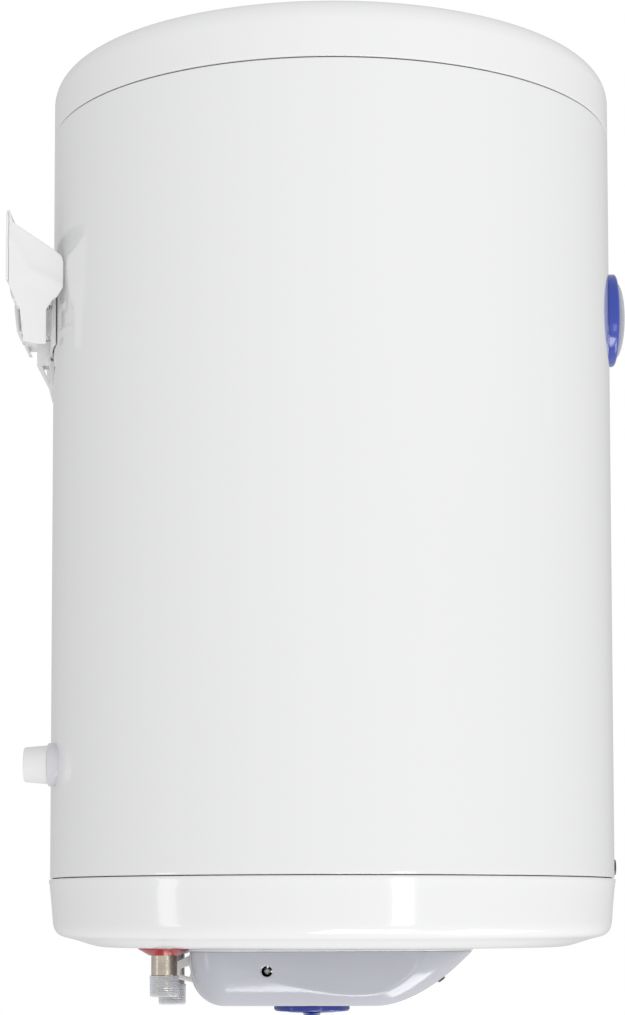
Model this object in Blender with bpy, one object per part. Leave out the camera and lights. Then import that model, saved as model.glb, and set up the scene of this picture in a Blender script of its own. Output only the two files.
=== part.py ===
"""Wall-hung electric storage water heater, in metres.

The origin is the centre of the wall plate's back face: +Y points into the wall, +Z up, the front looks along -Y.
Places are given as (x, front, up): front is the distance in front of the tank's axis, up the height above the
seam between the shell and the bottom cap.
"""

import bmesh
import bpy
from math import cos, pi, radians, sin, sqrt
from mathutils import Matrix, Vector

shell_radius = 0.229
shell_height = 0.6076
shell_wall = 0.0009
wall_distance = 0.030
plate_centre_up = 0.505
gap = 0.0003

axis_y = -(shell_radius + wall_distance)

cap_rise = 0.0665
cap_wall = 0.0025
cap_underside = -0.0545

tank_radius = 0.194
tank_wall = 0.002
tank_low, tank_high = 0.030, 0.590
dome_rise = 0.050

neck_radius = 0.046
flange_radius = 0.066
flange_top = -0.036
stud_circle = 0.0565
stud_count = 5

pipe_front = -0.1335
pipe_spread = 0.050
pipe_radius = 0.0104
bore_radius = 0.0080
hot_end, cold_end = -0.0915, -0.1009

cover_back, cover_front = -0.1128, 0.1145
cover_top, cover_base = -0.0578, -0.1006
cover_half = 0.090
cover_wall = 0.0025
cover_round = 0.028

knob_front = -0.0166
knob_radius = 0.0305
gauge_up = 0.462
plug_up = 0.0095
spacer_x, spacer_up = -0.060, 0.0905
saddle_bolt_x, saddle_bolt_up = (-0.040, 0.040), 0.470
round_steps = 48
small_steps = 16

for old in list(bpy.data.objects):
    bpy.data.objects.remove(old, do_unlink=True)


def place(x, front, up):
    return Vector((x, axis_y - front, up - plate_centre_up))


def finish_of(name, color, roughness, metallic=0.0, alpha=1.0):
    found = bpy.data.materials.get(name)
    if found:
        return found
    made = bpy.data.materials.new(name)
    made.use_nodes = True
    shader = made.node_tree.nodes["Principled BSDF"]
    shader.inputs["Base Color"].default_value = (*color, 1.0)
    shader.inputs["Roughness"].default_value = roughness
    shader.inputs["Metallic"].default_value = metallic
    shader.inputs["Alpha"].default_value = alpha
    return made


def enamel(name):
    return finish_of(name + "_enamel", (0.86, 0.86, 0.86), 0.18)


def plastic(name, color, roughness=0.35):
    return finish_of(name + "_plastic", color, roughness)


def metal(name, color=(0.62, 0.62, 0.60), roughness=0.3):
    return finish_of(name + "_metal", color, roughness, 1.0)


def add(name, bm, look, smooth=35):
    """Turn a bmesh into a named object with its own material."""
    bmesh.ops.remove_doubles(bm, verts=bm.verts, dist=1e-6)
    bmesh.ops.recalc_face_normals(bm, faces=bm.faces)
    mesh = bpy.data.meshes.new(name)
    bm.to_mesh(mesh)
    bm.free()
    mesh.shade_smooth()
    mesh.set_sharp_from_angle(angle=radians(smooth))
    body = bpy.data.objects.new(name, mesh)
    bpy.context.scene.collection.objects.link(body)
    if look:
        mesh.materials.append(look)
    else:
        body.hide_render = True
        body.display_type = "WIRE"
    return body


def join_in(bm, other):
    """Copy one bmesh's geometry into another."""
    carrier = bpy.data.meshes.new("carrier")
    other.to_mesh(carrier)
    other.free()
    bm.from_mesh(carrier)
    bpy.data.meshes.remove(carrier)


def turned(profile, centre, axis=(0, 0, 1), steps=round_steps):
    """Spin a closed (radius, height) outline about an axis through centre."""
    bm = bmesh.new()
    corners = [bm.verts.new((radius, 0, height)) for radius, height in profile]
    edges = [bm.edges.new((a, b)) for a, b in zip(corners, corners[1:] + corners[:1])
             if a.co.x > 1e-7 or b.co.x > 1e-7]
    bmesh.ops.spin(bm, geom=corners + edges, cent=(0, 0, 0), axis=(0, 0, 1), angle=2 * pi,
                   steps=steps, use_merge=True)
    bmesh.ops.remove_doubles(bm, verts=bm.verts, dist=1e-6)
    turn = Vector((0, 0, 1)).rotation_difference(Vector(axis)).to_matrix().to_4x4()
    bm.transform(Matrix.Translation(centre) @ turn)
    return bm


def rod(start, end, radius, steps=small_steps, tip_radius=None):
    bm = bmesh.new()
    along = end - start
    bmesh.ops.create_cone(bm, cap_ends=True, segments=steps, radius1=radius,
                          radius2=radius if tip_radius is None else tip_radius, depth=along.length)
    turn = Vector((0, 0, 1)).rotation_difference(along.normalized()).to_matrix().to_4x4()
    bm.transform(Matrix.Translation((start + end) / 2) @ turn)
    return bm


def block(low, high):
    """Box between two (x, front, up) corners."""
    bm = bmesh.new()
    a, b = place(*low), place(*high)
    size = [abs(a[i] - b[i]) for i in range(3)]
    bmesh.ops.create_cube(bm, size=1, matrix=Matrix.Translation((a + b) / 2) @ Matrix.Diagonal((*size, 1)))
    return bm


def sheet(outline, x_low, x_high):
    """Side outline of (front, up) points, given its thickness along X."""
    bm = bmesh.new()
    corners = [bm.verts.new(place(x_low, front, up)) for front, up in outline]
    face = bm.faces.new(corners)
    grown = bmesh.ops.extrude_face_region(bm, geom=[face])
    moved = [part for part in grown["geom"] if isinstance(part, bmesh.types.BMVert)]
    bmesh.ops.translate(bm, verts=moved, vec=(x_high - x_low, 0, 0))
    return bm


def panel(outline, front_low, front_high):
    """Front outline of (x, up) points, given its thickness from back to front."""
    bm = bmesh.new()
    face = bm.faces.new([bm.verts.new(place(x, front_low, up)) for x, up in outline])
    grown = bmesh.ops.extrude_face_region(bm, geom=[face])
    moved = [part for part in grown["geom"] if isinstance(part, bmesh.types.BMVert)]
    bmesh.ops.translate(bm, verts=moved, vec=(0, front_low - front_high, 0))
    return bm


def slab(outline, up_low, up_high):
    """Plan outline of (x, front) points, given its thickness along Z."""
    bm = bmesh.new()
    face = bm.faces.new([bm.verts.new(place(x, front, up_low)) for x, front in outline])
    grown = bmesh.ops.extrude_face_region(bm, geom=[face])
    moved = [part for part in grown["geom"] if isinstance(part, bmesh.types.BMVert)]
    bmesh.ops.translate(bm, verts=moved, vec=(0, 0, up_high - up_low))
    return bm


def arc(centre, radius, start, stop, steps):
    """Points on an arc, angles in degrees."""
    angles = [radians(start + (stop - start) * i / steps) for i in range(steps + 1)]
    return [(centre[0] + radius * cos(a), centre[1] + radius * sin(a)) for a in angles]


def shape_with(body, cutter, operation="DIFFERENCE"):
    change = body.modifiers.new(operation.lower(), "BOOLEAN")
    change.operation = operation
    change.solver = "EXACT"
    change.object = cutter


def cut(body, name, bm):
    shape_with(body, add(name, bm, None))


def holes(body, name, parts):
    """Cut several holes, which stay clear of each other, with one cutter."""
    whole = bmesh.new()
    for part in parts:
        join_in(whole, part)
    cut(body, name, whole)


def union(body, name, bm):
    shape_with(body, add(name, bm, None), "UNION")


def wire(name, points, radius, look, resolution=1):
    """Round wire along a list of points."""
    curve = bpy.data.curves.new(name, "CURVE")
    curve.dimensions = "3D"
    curve.bevel_depth = radius
    curve.bevel_resolution = resolution
    curve.use_fill_caps = True
    line = curve.splines.new("POLY")
    line.points.add(len(points) - 1)
    for point, spot in zip(line.points, points):
        point.co = (*spot, 1)
    curve.materials.append(look)
    body = bpy.data.objects.new(name, curve)
    bpy.context.scene.collection.objects.link(body)
    return body


def smooth_path(corners, steps=5):
    """Points on a Catmull-Rom curve through the corners."""
    ends = [2 * corners[0] - corners[1], *corners, 2 * corners[-1] - corners[-2]]
    points = []
    for a, b, c, d in zip(ends, ends[1:], ends[2:], ends[3:]):
        for i in range(steps):
            t = i / steps
            points.append(0.5 * (2 * b + (c - a) * t + (2 * a - 5 * b + 4 * c - d) * t ** 2
                                 + (3 * b - a - 3 * c + d) * t ** 3))
    return points + [corners[-1]]


def pipe_spot(side, up):
    return place(side * pipe_spread, pipe_front, up)


def upright(x, front, low, high, radius, steps=small_steps):
    return rod(place(x, front, low), place(x, front, high), radius, steps)


def crosswise(x, up, back, front, radius, steps=small_steps):
    return rod(place(x, back, up), place(x, front, up), radius, steps)


# Jacket -------------------------------------------------------------------------------------------------------

def build_shell():
    inner = shell_radius - shell_wall
    low, high = gap, shell_height - gap
    shell = add("outer_shell", turned([(shell_radius, high), (inner, high), (inner, low), (shell_radius, low)],
                                      place(0, 0, 0)), enamel("shell"))
    holes(shell, "shell_holes", [
        crosswise(0, gauge_up, 0.20, 0.24, 0.0302),
        crosswise(0, plug_up, 0.21, 0.24, 0.0046),
        crosswise(spacer_x, spacer_up, -0.24, -0.20, 0.0056),
        *[crosswise(x, saddle_bolt_up, -0.24, -0.19, 0.0046) for x in saddle_bolt_x]])


def build_top_cap():
    rim = 0.020
    turn_up = 0.636
    crown = shell_height + cap_rise
    outer = [(shell_radius, shell_height), (shell_radius, turn_up - 0.014)]
    outer += arc((shell_radius - rim, turn_up), rim, 0, 78, 5)
    edge_radius, edge_up = outer[-1]
    domed = [(edge_radius * (1 - t), edge_up + (crown - edge_up) * (1 - (1 - t) ** 2)) for t in (0.3, 0.6, 1.0)]
    outer += domed
    spigot = shell_radius - shell_wall - 0.0008
    inner = [(0, crown - cap_wall), (domed[1][0], domed[1][1] - cap_wall), (domed[0][0], domed[0][1] - cap_wall)]
    inner += arc((shell_radius - rim, turn_up), rim - cap_wall, 78, 0, 4)
    inner += [(spigot - cap_wall, shell_height), (spigot - cap_wall, shell_height - 0.012),
              (spigot, shell_height - 0.012), (spigot, shell_height)]
    add("top_cap", turned(outer + inner, place(0, 0, 0)), plastic("cap", (0.85, 0.85, 0.85), 0.2))


def build_bottom_cap():
    lip = shell_radius + 0.0008
    hole = 0.078
    spigot = shell_radius - shell_wall - 0.0008
    outer = [(hole, cap_underside), (0.188, cap_underside), (0.2200, -0.0455), (0.2245, -0.0420),
             (0.2265, -0.0350), (lip - 0.0004, -0.0040), (lip, -0.0030), (lip, 0.0)]
    inner = [(spigot, 0.0), (spigot, 0.018), (spigot - cap_wall, 0.018), (spigot - cap_wall, -0.002),
             (0.2240, -0.0350), (0.2180, -0.0428), (0.1872, cap_underside + cap_wall),
             (hole, cap_underside + cap_wall)]
    cap = add("bottom_cap", turned(outer + inner, place(0, 0, 0)), plastic("cap", (0.85, 0.85, 0.85), 0.2))
    pipes = [rod(pipe_spot(side, -0.07), pipe_spot(side, -0.03), pipe_radius + 0.0006) for side in (-1, 1)]
    plug_hole = crosswise(0, plug_up, 0.21, 0.24, 0.0046)
    holes(cap, "cap_holes", [*pipes, plug_hole])


def dome(radius, centre_up, rise, steps):
    """Half outline of an elliptic dome from its rim towards its crown."""
    return [(radius * cos(a), centre_up + rise * sin(a)) for a in
            [radians(90 * i / steps) for i in range(steps + 1)]]


def tank_outline(grow, steps=5):
    """Outside of the tank, from its neck up to its crown, grown by a clearance."""
    low = [(r, up) for r, up in dome(tank_radius + grow, tank_low, -dome_rise - grow, steps)
           if r > neck_radius + grow + 0.004]
    meet = tank_low - (dome_rise + grow) * sqrt(1 - ((neck_radius + grow) / (tank_radius + grow)) ** 2)
    low = [(neck_radius + grow, meet), *reversed(low)]
    high = dome(tank_radius + grow, tank_high, dome_rise + grow, steps)
    high[-1] = (0, high[-1][1])
    return low + high


def build_tank():
    outer = tank_outline(0)
    inner = [(max(radius, 0), up) for radius, up in reversed(tank_outline(-tank_wall))]
    neck_low = flange_top + 0.0004
    profile = [(neck_radius, neck_low), *outer, *inner, (neck_radius - tank_wall, neck_low)]
    tank = add("inner_tank", turned(profile, place(0, 0, 0), steps=28),
               finish_of("tank_enamel", (0.16, 0.20, 0.30), 0.3))
    holes(tank, "tank_holes", [rod(pipe_spot(side, -0.03), pipe_spot(side, 0.03), pipe_radius + gap)
                               for side in (-1, 1)])


def build_foam():
    slack = 0.0006
    outer = [(0.070, -0.0512), (0.1860, -0.0512), (0.2150, -0.0410), (0.2225, -0.0340), (0.2235, 0.0200),
             (0.2262, 0.0240), (0.2262, 0.5900), (0.2235, 0.5940), (0.2235, 0.6360), (0.2190, 0.6460),
             (0.2080, 0.6500), (0.1200, 0.6600), (0, 0.6650)]
    inner = [(max(radius, 0), up) for radius, up in reversed(tank_outline(slack))]
    foam = add("insulation_foam", turned([*outer, *inner[:-1], (0.070, -0.0190)],
                                         place(0, 0, 0), steps=28),
               finish_of("foam", (0.80, 0.66, 0.34), 0.9))
    holes(foam, "foam_holes", [
        *[rod(pipe_spot(side, -0.06), pipe_spot(side, 0.03), pipe_radius + gap) for side in (-1, 1)],
        facing([(0.0306, 0.2400), (0, 0.2400), (0, 0.1900), (0.0036, 0.1900), (0.0036, 0.2120), (0.0306, 0.2120)]),
        crosswise(spacer_x, spacer_up, -0.24, -0.17, 0.0054),
        *[crosswise(x, saddle_bolt_up, -0.24, -0.18, 0.0043) for x in saddle_bolt_x]])


def build_front_plug():
    plug = add("front_plug", rod(place(0, 0.2260, plug_up), place(0, 0.2313, plug_up), 0.0076, 32, 0.0064),
               plastic("plug", (0.06, 0.06, 0.07), 0.4))
    cut(plug, "plug_seat", turned([(shell_radius + gap, 0.1), (0, 0.1), (0, -0.1), (shell_radius + gap, -0.1)],
                                  place(0, 0, 0), steps=round_steps))
    union(plug, "plug_peg", crosswise(0, plug_up, 0.2240, 0.2302, 0.0042))


# Flange and heating ---------------------------------------------------------------------------------------------

element_front, element_half = 0.022, 0.018
rod_front, rod_half = -0.020, 0.022
plate_top = flange_top - 0.0086
plate_low = plate_top - 0.004


def stud_spots():
    return [(stud_circle * cos(a), stud_circle * sin(a)) for a in
            [2 * pi * (i + 0.5) / stud_count for i in range(stud_count)]]


def build_flange():
    steel = metal("flange", (0.55, 0.56, 0.58), 0.4)
    ring_low = flange_top - 0.006
    inner = neck_radius - tank_wall
    ring = add("flange_ring", turned([(flange_radius, flange_top), (inner, flange_top), (inner, ring_low),
                                      (flange_radius, ring_low)], place(0, 0, 0), steps=32), steel)
    studs = bmesh.new()
    for x, front in stud_spots():
        join_in(studs, upright(x, front, plate_low - 0.0085, flange_top - 0.001, 0.0039, 12))
    union(ring, "welded_studs", studs)
    seal_top, seal_low = ring_low - gap, plate_top + gap
    add("flange_gasket", turned([(0.0515, seal_top), (inner, seal_top), (inner, seal_low), (0.0515, seal_low)],
                                place(0, 0, 0), steps=32), finish_of("rubber_gasket", (0.05, 0.05, 0.05), 0.8))
    plate = add("flange_plate", turned([(flange_radius, plate_top), (0, plate_top), (0, plate_low),
                                        (flange_radius, plate_low)], place(0, 0, 0), steps=32), steel)
    passing = [upright(x, f, plate_low - 0.01, plate_top + 0.01, 0.0043, 12) for x, f in stud_spots()]
    passing += [upright(x, element_front, plate_low - 0.01, plate_top + 0.01, 0.0046, 16)
                for x in (-element_half, element_half)]
    passing += [upright(-rod_half, rod_front, plate_low - 0.01, plate_top + 0.01, 0.0064, 16),
                upright(rod_half, rod_front, plate_low - 0.01, plate_top + 0.01, 0.0043, 16),
                upright(0.0, 0.040, plate_low - 0.01, plate_top + 0.01, 0.0028, 12)]
    holes(plate, "plate_holes", passing)
    for number, (x, front) in enumerate(stud_spots(), 1):
        add(f"flange_nut_{number}", hex_nut(x, front, plate_low - gap, 0.0060, 0.0066, 0.0042), metal("fastener"))


def hex_nut(x, front, top, height, across, bore):
    """Ring with six flats outside and a round bore."""
    bm = bmesh.new()
    rings = []
    for up in (top, top - height):
        for outside in (True, False):
            ring = []
            for i in range(12):
                radius = (across * (cos(pi / 6) if i % 2 else 1)) if outside else bore
                spot = place(x + radius * cos(pi * i / 6), front + radius * sin(pi * i / 6), up)
                ring.append(bm.verts.new(spot))
            rings.append(ring)
    outer_top, bore_top, outer_low, bore_low = rings
    for i in range(12):
        j = (i + 1) % 12
        for a, b in ((outer_top, outer_low), (outer_low, bore_low), (bore_low, bore_top), (bore_top, outer_top)):
            bm.faces.new((a[i], a[j], b[j], b[i]))
    return bm


def build_heating():
    low, top = -0.0600, 0.300
    bend = [place(x, element_front, up) for x, up in arc((0, top), element_half, 0, 180, 8)]
    path = [place(element_half, element_front, low), *bend, place(-element_half, element_front, low)]
    wire("heating_element", path, 0.0042, metal("element", (0.72, 0.45, 0.30), 0.35), 2)
    pocket = [(0.0060, -0.0560), (0.0060, 0.2400), (0, 0.2415), (0, 0.2395), (0.0050, 0.2385), (0.0050, -0.0560)]
    add("sensor_pocket", turned(pocket, place(-rod_half, rod_front, 0), steps=16),
        metal("pocket", (0.70, 0.50, 0.36), 0.35))
    anode = upright(rod_half, rod_front, -0.0300, 0.3000, 0.0110, 20)
    rod_body = add("anode_rod", anode, metal("anode", (0.60, 0.60, 0.58), 0.6))
    union(rod_body, "anode_stud", upright(rod_half, rod_front, -0.0600, -0.0250, 0.0038, 12))
    add("anode_nut", hex_nut(rod_half, rod_front, plate_low - gap, 0.0060, 0.0066, 0.0042), metal("fastener"))
    earth = [(0.0024, plate_top + 0.002), (0, plate_top + 0.002), (0, -0.0640), (0.0024, -0.0640),
             (0.0024, -0.0560), (0.0046, -0.0560), (0.0046, plate_low - gap), (0.0024, plate_low - gap)]
    add("earth_stud", turned(earth, place(0.0, 0.040, 0), steps=12), metal("brass", (0.80, 0.62, 0.30), 0.3))


# Water connections ------------------------------------------------------------------------------------------------

def build_pipes():
    nickel = metal("pipe", (0.66, 0.60, 0.52), 0.25)
    for name, side, end, ring_color, pipe_top in (("hot", -1, hot_end, (0.62, 0.03, 0.06), 0.012),
                                                  ("cold", 1, cold_end, (0.05, 0.10, 0.45), 0.075)):
        add(name + "_water_pipe", turned([(pipe_radius, pipe_top), (bore_radius, pipe_top),
                                          (bore_radius, end), (pipe_radius, end)],
                                         pipe_spot(side, 0), steps=20), nickel)
        top, low = cap_underside - gap, cap_underside - 0.0064
        inner = pipe_radius + gap
        add(name + "_pipe_ring", turned([(0.0193, top), (inner, top), (inner, low), (0.0142, low),
                                         (0.0193, top - 0.0012)], pipe_spot(side, 0), steps=28),
            plastic(name + "_ring", ring_color, 0.3))
        cap_top, cap_low = end + 0.0148, end - 0.0021
        wide, narrow = 0.0116, 0.0114
        thread_cap = [(wide, cap_top), (inner + 0.0002, cap_top), (inner + 0.0002, end - gap - 0.0004),
                      (0, end - gap - 0.0004), (0, cap_low), (narrow - 0.0008, cap_low), (narrow, cap_low + 0.0008)]
        add(name + "_thread_cap", turned(thread_cap, pipe_spot(side, 0), steps=20),
            finish_of("thread_cap_plastic", (0.80, 0.80, 0.82), 0.3, 0.0, 0.6))
    add("hot_dip_tube", turned([(pipe_radius, 0.560), (bore_radius, 0.560), (bore_radius, 0.0123),
                                (pipe_radius, 0.0123)], pipe_spot(-1, 0), steps=16),
        plastic("dip_tube", (0.75, 0.75, 0.70), 0.5))
    diffuser = [(0.0125, 0.0860), (0.0125, 0.0866 + 0.0040), (0, 0.0930), (0, 0.0860)]
    add("inlet_diffuser", turned(diffuser, pipe_spot(1, 0), steps=20), plastic("dip_tube", (0.75, 0.75, 0.70), 0.5))


# Service cover ----------------------------------------------------------------------------------------------------

def bow_stations(count=9):
    """(front, base) along the underside: a flat run, then a curve that rises to the front tip."""
    tip = Vector((cover_front, cover_top + 0.0008))
    knots = [Vector((0.035, cover_base)), Vector((0.060, cover_base)), Vector((0.092, -0.0800)), tip]
    points = []
    for i in range(count + 1):
        t = i / count
        weights = ((1 - t) ** 3, 3 * t * (1 - t) ** 2, 3 * t * t * (1 - t), t ** 3)
        points.append(sum((w * k for w, k in zip(weights, knots)), Vector((0, 0))))
    return points


def plan_half(front):
    """Half width of the cover seen from below: rounded at the wall end, bowed at the front."""
    back_round = 0.030
    if front < cover_back + back_round:
        return cover_half - back_round + sqrt(max(back_round ** 2 - (cover_back + back_round - front) ** 2, 0))
    if front <= 0.030:
        return cover_half
    t = min((front - 0.030) / 0.0862, 1)
    return cover_half * (1 - t ** 3.0) ** (1 / 3.0)


def hull_stations():
    """(front, base, half width) of each section of the cover's hull."""
    rows = []
    for i in range(6):
        angle = radians(90 * i / 5)
        front = cover_back + cover_round * (1 - cos(angle))
        rows.append((front, cover_base + cover_round * (1 - sin(angle)), plan_half(front)))
    rows += [(front, cover_base, plan_half(front)) for front in (-0.080, -0.055, -0.020, 0.015)]
    rows += [(spot.x, spot.y, plan_half(spot.x)) for spot in bow_stations()]
    return rows


def cover_hull(inset, top):
    """Closed hull of the cover, moved in by inset and ending at top."""
    bm = bmesh.new()
    rings = []
    low_tip = cover_top if inset == 0 else cover_top - 0.004
    for front, base, half in hull_stations():
        if front > cover_front - 0.8 * inset - 1e-6 and inset:
            continue
        base = min(base + inset, low_tip - 0.0004)
        half = half - inset
        radius = max(cover_round - inset, 0.002)
        side = []
        for i in range(7):
            angle = radians(90 * i / 6)
            side.append((half - radius + radius * cos(angle), base + radius - radius * sin(angle)))
        side = [(x, up) for x, up in side if up < cover_top - 0.0002]
        lift = base + radius
        rim = half if lift <= cover_top else half - radius + sqrt(max(radius ** 2 - (lift - cover_top) ** 2, 0))
        while len(side) < 7:
            side.insert(0, (rim, cover_top - 0.0002))
        side = [(rim, top), (rim, cover_top - 0.0001), *side]
        if front < cover_back + cover_round + 0.003:
            spot = max(front, cover_back + inset + (front - cover_back) * (1 - inset / cover_round))
        elif inset and front >= 0.035:
            spot = front - inset * 0.7 * min(1, (front - 0.035) / 0.03)
        else:
            spot = front
        ring = side + [(-x, up) for x, up in reversed(side)]
        rings.append([bm.verts.new(place(x, spot, up)) for x, up in ring])
    for a, b in zip(rings, rings[1:]):
        for i in range(len(a)):
            j = (i + 1) % len(a)
            bm.faces.new((a[i], a[j], b[j], b[i]))
    bm.faces.new(rings[0])
    bm.faces.new(rings[-1])
    bmesh.ops.remove_doubles(bm, verts=bm.verts, dist=2e-5)
    bmesh.ops.dissolve_degenerate(bm, edges=bm.edges, dist=1e-5)
    bmesh.ops.recalc_face_normals(bm, faces=bm.faces)
    return bm


facet_start = (-0.0805, -0.0567)
facet_slope, facet_lean = -0.0833, 0.0187


def facet_point(side, inset=0.0):
    return place(side * (cover_half - inset), *facet_start)


def facet_normal(side):
    """Outward normal of the flat side: half width = cover_half + slope * front + lean * up."""
    return Vector((side, facet_slope, -facet_lean)).normalized()


def trim_sides(bm, inset=0.0):
    for side in (-1, 1):
        bmesh.ops.bisect_plane(bm, geom=[*bm.verts, *bm.edges, *bm.faces], plane_co=facet_point(side, inset),
                               plane_no=facet_normal(side), clear_outer=True, dist=1e-6)
        open_edges = [edge for edge in bm.edges if edge.is_boundary]
        bmesh.ops.contextual_create(bm, geom=open_edges)
    bmesh.ops.recalc_face_normals(bm, faces=bm.faces)
    return bm


def collar_outline(inset):
    """Plan outline of the cover's rim, as (x, front) points."""
    half_line = []
    for front, base, half in hull_stations():
        lift = base + cover_round
        rim = half
        if lift > cover_top:
            rim = half - cover_round + sqrt(max(cover_round ** 2 - (lift - cover_top) ** 2, 0))
        facet = cover_half + facet_slope * (front - facet_start[0])
        rim = min(rim, facet) - inset
        front = max(front, cover_back + inset)
        if rim > 0.004 and front < cover_front - inset:
            half_line.append((rim, front))
    return half_line + [(-x, front) for x, front in reversed(half_line)]


def build_cover():
    collar = add("cover_collar", slab(collar_outline(-0.0008), cap_underside - 0.0030, cap_underside - gap),
                 plastic("collar", (0.72, 0.72, 0.74), 0.35))
    cut(collar, "collar_opening", slab(collar_outline(0.009), -0.07, -0.05))
    grey = plastic("cover", (0.42, 0.43, 0.48), 0.28)
    cover = add("service_cover", trim_sides(cover_hull(0, cover_top)), grey)
    cut(cover, "cover_inside", trim_sides(cover_hull(cover_wall, cover_top + 0.01), cover_wall))
    screw_spots = [(side, -0.051, -0.073) for side in (-1, 1)]
    reach = [rod(place(side * 0.070, front, up), place(side * 0.100, front, up), 0.0042, 20)
             for side, front, up in screw_spots]
    spindle_hole = upright(0, knob_front, cover_base - 0.01, cover_base + 0.01, 0.0040, 20)
    holes(cover, "cover_holes", [*reach, spindle_hole, lamp_body(0.0003, 0.006)])
    for name, (side, front, up) in zip(("left", "right"), screw_spots):
        add("cover_screw_" + name, rod(place(side * 0.0700, front, up), place(side * 0.0862, front, up), 0.0037, 16),
            metal("fastener"))
    add("pilot_lamp", lamp_body(0.0, 0.0012), plastic("lamp", (0.12, 0.03, 0.03), 0.25))


def lamp_body(grow, out):
    """Oval lens set square into the rising bow of the cover."""
    bm = bmesh.new()
    bmesh.ops.create_cone(bm, cap_ends=True, segments=20, radius1=0.0036 + grow, radius2=0.0036 + grow, depth=1)
    bm.transform(Matrix.Diagonal((2.0, 1.0, 0.0060 + out, 1)))
    lean = Vector((0, -0.62, -0.79)).normalized()
    turn = Vector((0, 0, 1)).rotation_difference(lean).to_matrix().to_4x4()
    middle = place(0, 0.0885, -0.0806) + lean * (out - 0.0060) / 2
    bm.transform(Matrix.Translation(middle) @ turn)
    return bm


def build_cable_guide():
    back, deep = -0.1262, cover_back - gap
    outer = [(deep, -0.0600), (back, -0.0668), (back, -0.0804), (deep, -0.0836)]
    guide = add("cable_guide", sheet(outer, -0.007, 0.007), plastic("guide", (0.82, 0.82, 0.80), 0.35))
    opening = [(-0.1163, -0.0700), (-0.1230, -0.0722), (-0.1230, -0.0772), (-0.1163, -0.0796), (-0.1146, -0.0748)]
    cut(guide, "guide_opening", sheet(opening, -0.02, 0.02))


def build_controls():
    knob_top, rim_low, grip_low = -0.1014, -0.1066, -0.1165
    blue = plastic("knob", (0.05, 0.09, 0.42), 0.25)
    outline = [(knob_radius - 0.0006, knob_top), (0, knob_top), (0, rim_low - 0.0012), (0.016, rim_low - 0.0006),
               (0.020, rim_low), (knob_radius - 0.0022, rim_low + 0.0004), (knob_radius, rim_low + 0.0024)]
    knob = add("thermostat_knob", turned(outline, place(0, knob_front, 0), steps=32), blue)
    grip = [(0.0, 0.0065), (-0.0235, 0.0045), (-0.0255, 0.0), (-0.0235, -0.0045), (0.0, -0.0065),
            (0.0235, -0.0045), (0.0255, 0.0), (0.0235, 0.0045)]
    union(knob, "knob_grip", slab([(x, knob_front + f) for x, f in grip], grip_low, rim_low + 0.001))
    cut(knob, "knob_bore", upright(0, knob_front, rim_low - 0.004, knob_top + 0.002, 0.0033, 16))
    add("thermostat_spindle", upright(0, knob_front, rim_low - 0.0036, -0.0903, 0.0030, 16),
        metal("fastener"))
    ivory = plastic("switchgear", (0.70, 0.68, 0.60), 0.45)
    add("thermostat_body", block((-0.020, knob_front - 0.024, -0.0900), (0.020, knob_front + 0.016, -0.0690)), ivory)
    cut_out_x = 0.048
    add("safety_cut_out", block((cut_out_x - 0.014, -0.030, -0.0900), (cut_out_x + 0.014, 0.006, -0.0700)), ivory)
    cut(bpy.data.objects["safety_cut_out"], "reset_well", upright(cut_out_x, -0.012, -0.095, -0.0840, 0.0034, 16))
    add("reset_button", upright(cut_out_x, -0.012, -0.0935, -0.0865, 0.0030, 16),
        plastic("reset", (0.60, 0.05, 0.04), 0.4))
    add("terminal_block", block((-0.066, 0.010, -0.0880), (-0.030, 0.034, -0.0720)),
        plastic("terminal", (0.80, 0.80, 0.78), 0.5))
    bulb_low, bulb_high = -0.018, 0.080
    add("thermostat_bulb", upright(-rod_half, rod_front, bulb_low, bulb_high, 0.0030, 12),
        metal("brass", (0.80, 0.62, 0.30), 0.3))
    loop = [place(-0.0212, knob_front, -0.0795), place(-0.0290, knob_front - 0.002, -0.0760),
            place(-0.0290, rod_front, -0.0640), place(-rod_half, rod_front, -0.0540),
            place(-rod_half, rod_front, -0.0183)]
    wire("thermostat_capillary", smooth_path(loop, 4), 0.0009, metal("brass", (0.80, 0.62, 0.30), 0.3))
    supply = [place(-0.0390, 0.0096, -0.0800), place(-0.0370, 0.000, -0.0810), place(-0.0300, -0.010, -0.0820),
              place(-0.0204, -0.010, -0.0830)]
    wire("supply_lead", smooth_path(supply, 4), 0.0012, plastic("brown_lead", (0.20, 0.10, 0.05), 0.5))
    linking = [place(0.0204, knob_front, -0.0800), place(0.0270, knob_front, -0.0790),
               place(0.0336, knob_front, -0.0800)]
    wire("linking_lead", smooth_path(linking, 4), 0.0012, plastic("blue_lead", (0.05, 0.10, 0.35), 0.5))


# Thermometer ------------------------------------------------------------------------------------------------------

def facing(profile):
    """Turned piece on the thermometer's axis; heights count forwards from the tank's axis."""
    return turned(profile, place(0, 0, gauge_up), (0, -1, 0), steps=32)


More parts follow.
